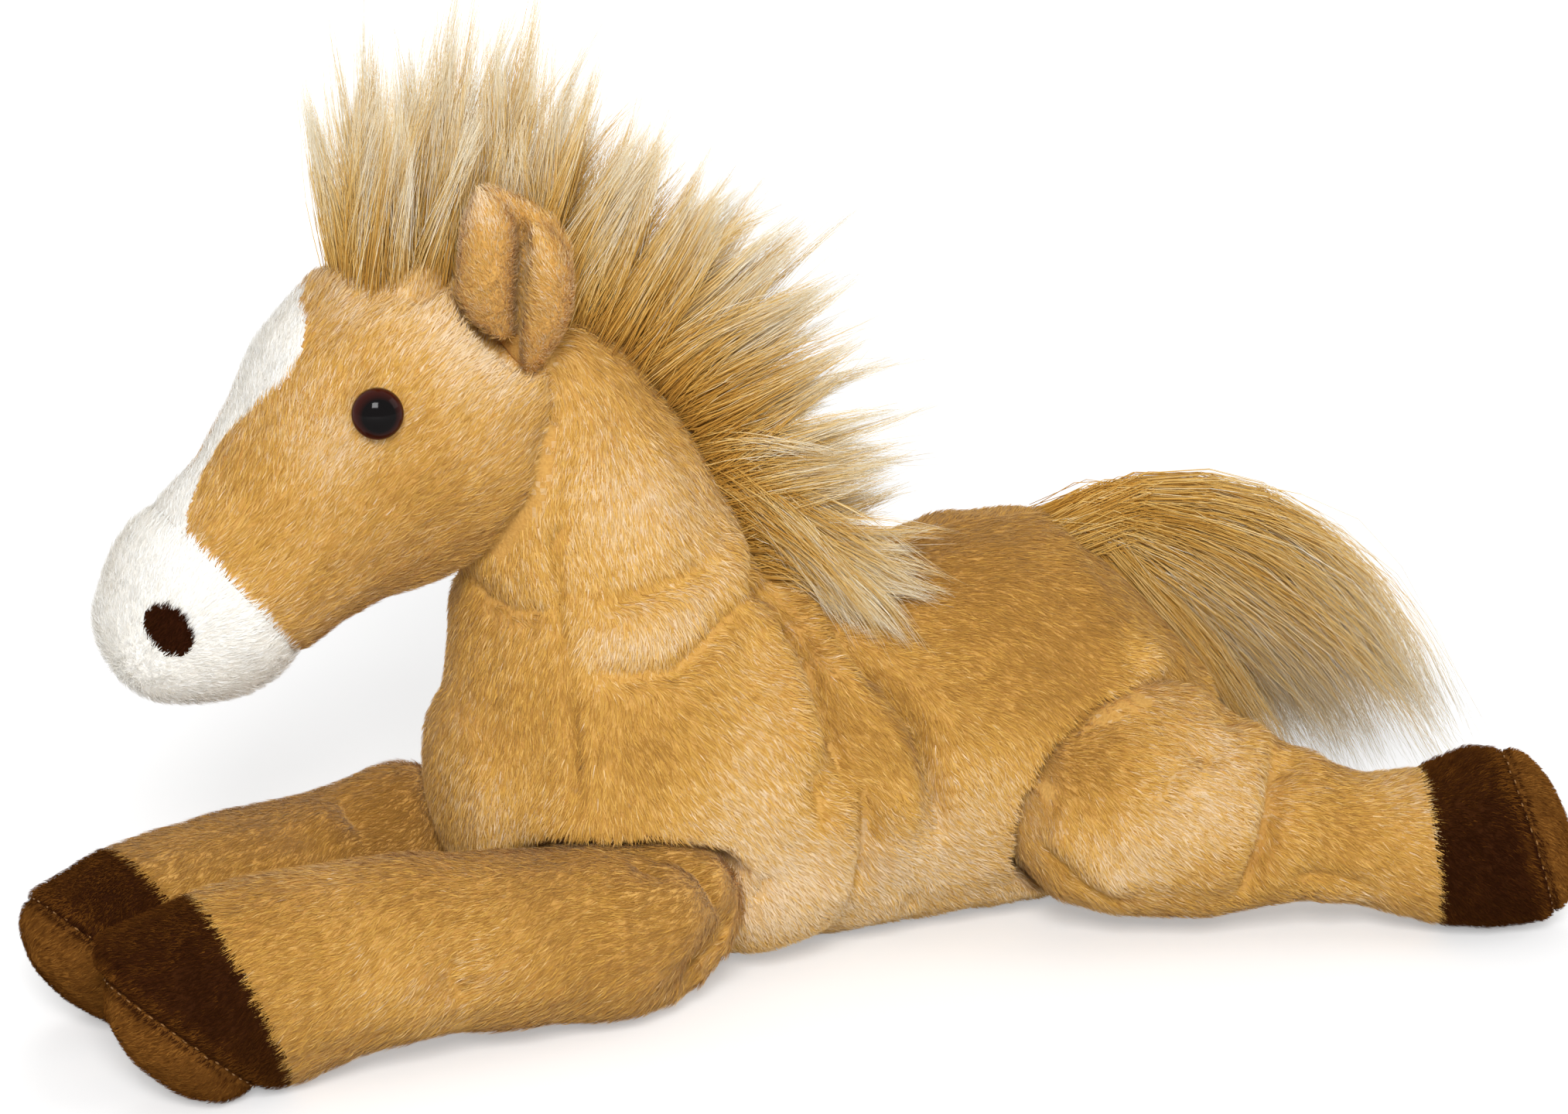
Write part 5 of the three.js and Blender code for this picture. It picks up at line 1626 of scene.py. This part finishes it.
TAIL_ROOT = in_frame([64, 0, 82.5])
TAIL_SUNK = (-5.4, 0, -4.6)
TAIL_LINES = [
    ((1745, 552), (1908, 930)), ((1725, 590), (1895, 950)), ((1703, 640), (1866, 975)),
    ((1675, 695), (1822, 998)), ((1640, 740), (1770, 1010)), ((1592, 765), (1718, 1015)),
]
TAIL_UNDER_LINES = [((1552, 785), (1670, 1015)), ((1520, 790), (1632, 1000)), ((1500, 780), (1605, 970))]
TAIL_LOCKS = 17
TAIL_HALF_WIDTH = 13 * MM
TAIL_BEND_SPREAD = 2.4 * MM
TAIL_TIP_SPREAD = 2.0 * MM
ACROSS = Vector((0, 1, 0))
tail_locks = []
for bend_pixel, tip_pixel in TAIL_LINES + TAIL_UNDER_LINES:
    for n in range(TAIL_LOCKS):
        spread = rng.normal(0, 0.55) * TAIL_HALF_WIDTH
        bend = np.array(on_plane(bend_pixel, TAIL_ROOT, ACROSS)) + rng.normal(0, TAIL_BEND_SPREAD, 3)
        tip = np.array(on_plane(tip_pixel, TAIL_ROOT, ACROSS)) + rng.normal(0, TAIL_TIP_SPREAD, 3)
        tip = TAIL_ROOT + (tip - TAIL_ROOT) * rng.uniform(0.84, 1.03)
        tip[1] = spread
        bend[1] = spread * 0.8
        root = TAIL_ROOT + in_frame([rng.normal(0, 0.6), rng.normal(0, 2.5), rng.normal(0, 0.6)])
        tail_locks.append((root, bend, tip))
tail_locks = gather(tail_locks, TAIL_TUFT, 1.04, rng)
upper = len(TAIL_LINES) * TAIL_LOCKS
tail = hair("tail_hair", "tail", tail_locks[:upper], tail_strands, TAIL_SPREADS, 64, (0.24, 0.85), TAIL_SUNK)
# The locks under the tail get deeper tones, as painted shade where little light reaches them.
hair("tail_under_hair", "tail", tail_locks[upper:], tail_strands, TAIL_SPREADS, 65, (0.14, 0.55), TAIL_SUNK)
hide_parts("tail")


# Stage.

FLOOR_SIZE = 6.0
FLOOR_GREY = (0.8, 0.8, 0.8, 1)
FLOOR_GLOW = (0.38, 0.8)  # the glow near the middle and far out, and from where to where it grows
FLOOR_FADE = (0.35, 1.6)
WORLD_LIGHT = 0.42  # as a light, and 1 to the eye

# Soft square lamps: name, place, size and power.
LAMPS = [
    ("key", (-0.6, -1.35, 1.0), 0.5, 22.5),
    ("fill", (1.2, -0.8, 0.9), 0.9, 4),
    ("back", (0.4, 1.3, 1.2), 0.8, 6),
]


def seen_or_glossy(tree):
    """1 on rays from the eye or a glossy surface, and 0 on the others."""
    path = add_node(tree, "ShaderNodeLightPath").outputs
    either = [(0, path["Is Camera Ray"]), (1, path["Is Glossy Ray"])]
    return add_node(tree, "ShaderNodeMath", either, operation="MAXIMUM").outputs["Value"]


def backdrop_material():
    """White to the eye, with the object's shadow on it."""
    material, tree, shader = new_material("backdrop", roughness=1.0, specular=0.0)
    shader.inputs["Base Color"].default_value = FLOOR_GREY
    spot = add_node(tree, "ShaderNodeTexCoord").outputs["Object"]
    far = add_node(tree, "ShaderNodeVectorMath", [(0, spot)], operation="LENGTH").outputs["Value"]
    fade = zip(("From Min", "From Max", "To Min", "To Max"), FLOOR_FADE + FLOOR_GLOW)
    strength = add_node(tree, "ShaderNodeMapRange", [("Value", far), *fade]).outputs["Result"]
    glow = add_node(tree, "ShaderNodeEmission", [("Strength", strength)]).outputs["Emission"]
    plain = shader.outputs["BSDF"]
    lit = add_node(tree, "ShaderNodeAddShader", [(0, plain), (1, glow)]).outputs["Shader"]
    mix = add_node(tree, "ShaderNodeMixShader", [("Fac", seen_or_glossy(tree)), (1, plain), (2, lit)])
    tree.links.new(mix.outputs["Shader"], tree.nodes["Material Output"].inputs["Surface"])
    return material


def make_floor():
    """A wide plain floor."""
    made = bmesh.new()
    bmesh.ops.create_grid(made, x_segments=8, y_segments=8, size=FLOOR_SIZE / 2)
    floor = from_bmesh("floor", made)
    floor.data.materials.append(backdrop_material())


def make_world():
    """An even white surround: white to the eye, and half as strong as a light."""
    world = bpy.data.worlds.new("surround")
    bpy.context.scene.world = world
    world.use_nodes = True
    tree = world.node_tree
    background = tree.nodes["Background"]
    background.inputs["Color"].default_value = (1, 1, 1, 1)
    steps = [("Value", seen_or_glossy(tree)), ("To Min", WORLD_LIGHT), ("To Max", 1.0)]
    strength = add_node(tree, "ShaderNodeMapRange", steps)
    tree.links.new(strength.outputs["Result"], background.inputs["Strength"])


def make_lamp(name, place, size, power):
    """A soft square lamp that looks at the horse."""
    lamp = bpy.data.lights.new(name, "AREA")
    lamp.shape = "SQUARE"
    lamp.size = size
    lamp.energy = power
    obj = bpy.data.objects.new(name, lamp)
    obj.location = place
    obj.rotation_mode = "QUATERNION"
    obj.rotation_quaternion = (CAMERA_TARGET - Vector(place)).to_track_quat("-Z", "Y")
    bpy.context.scene.collection.objects.link(obj)


make_floor()
make_world()
for lamp in LAMPS:
    make_lamp(*lamp)
bpy.context.scene.view_settings.view_transform = "Standard"
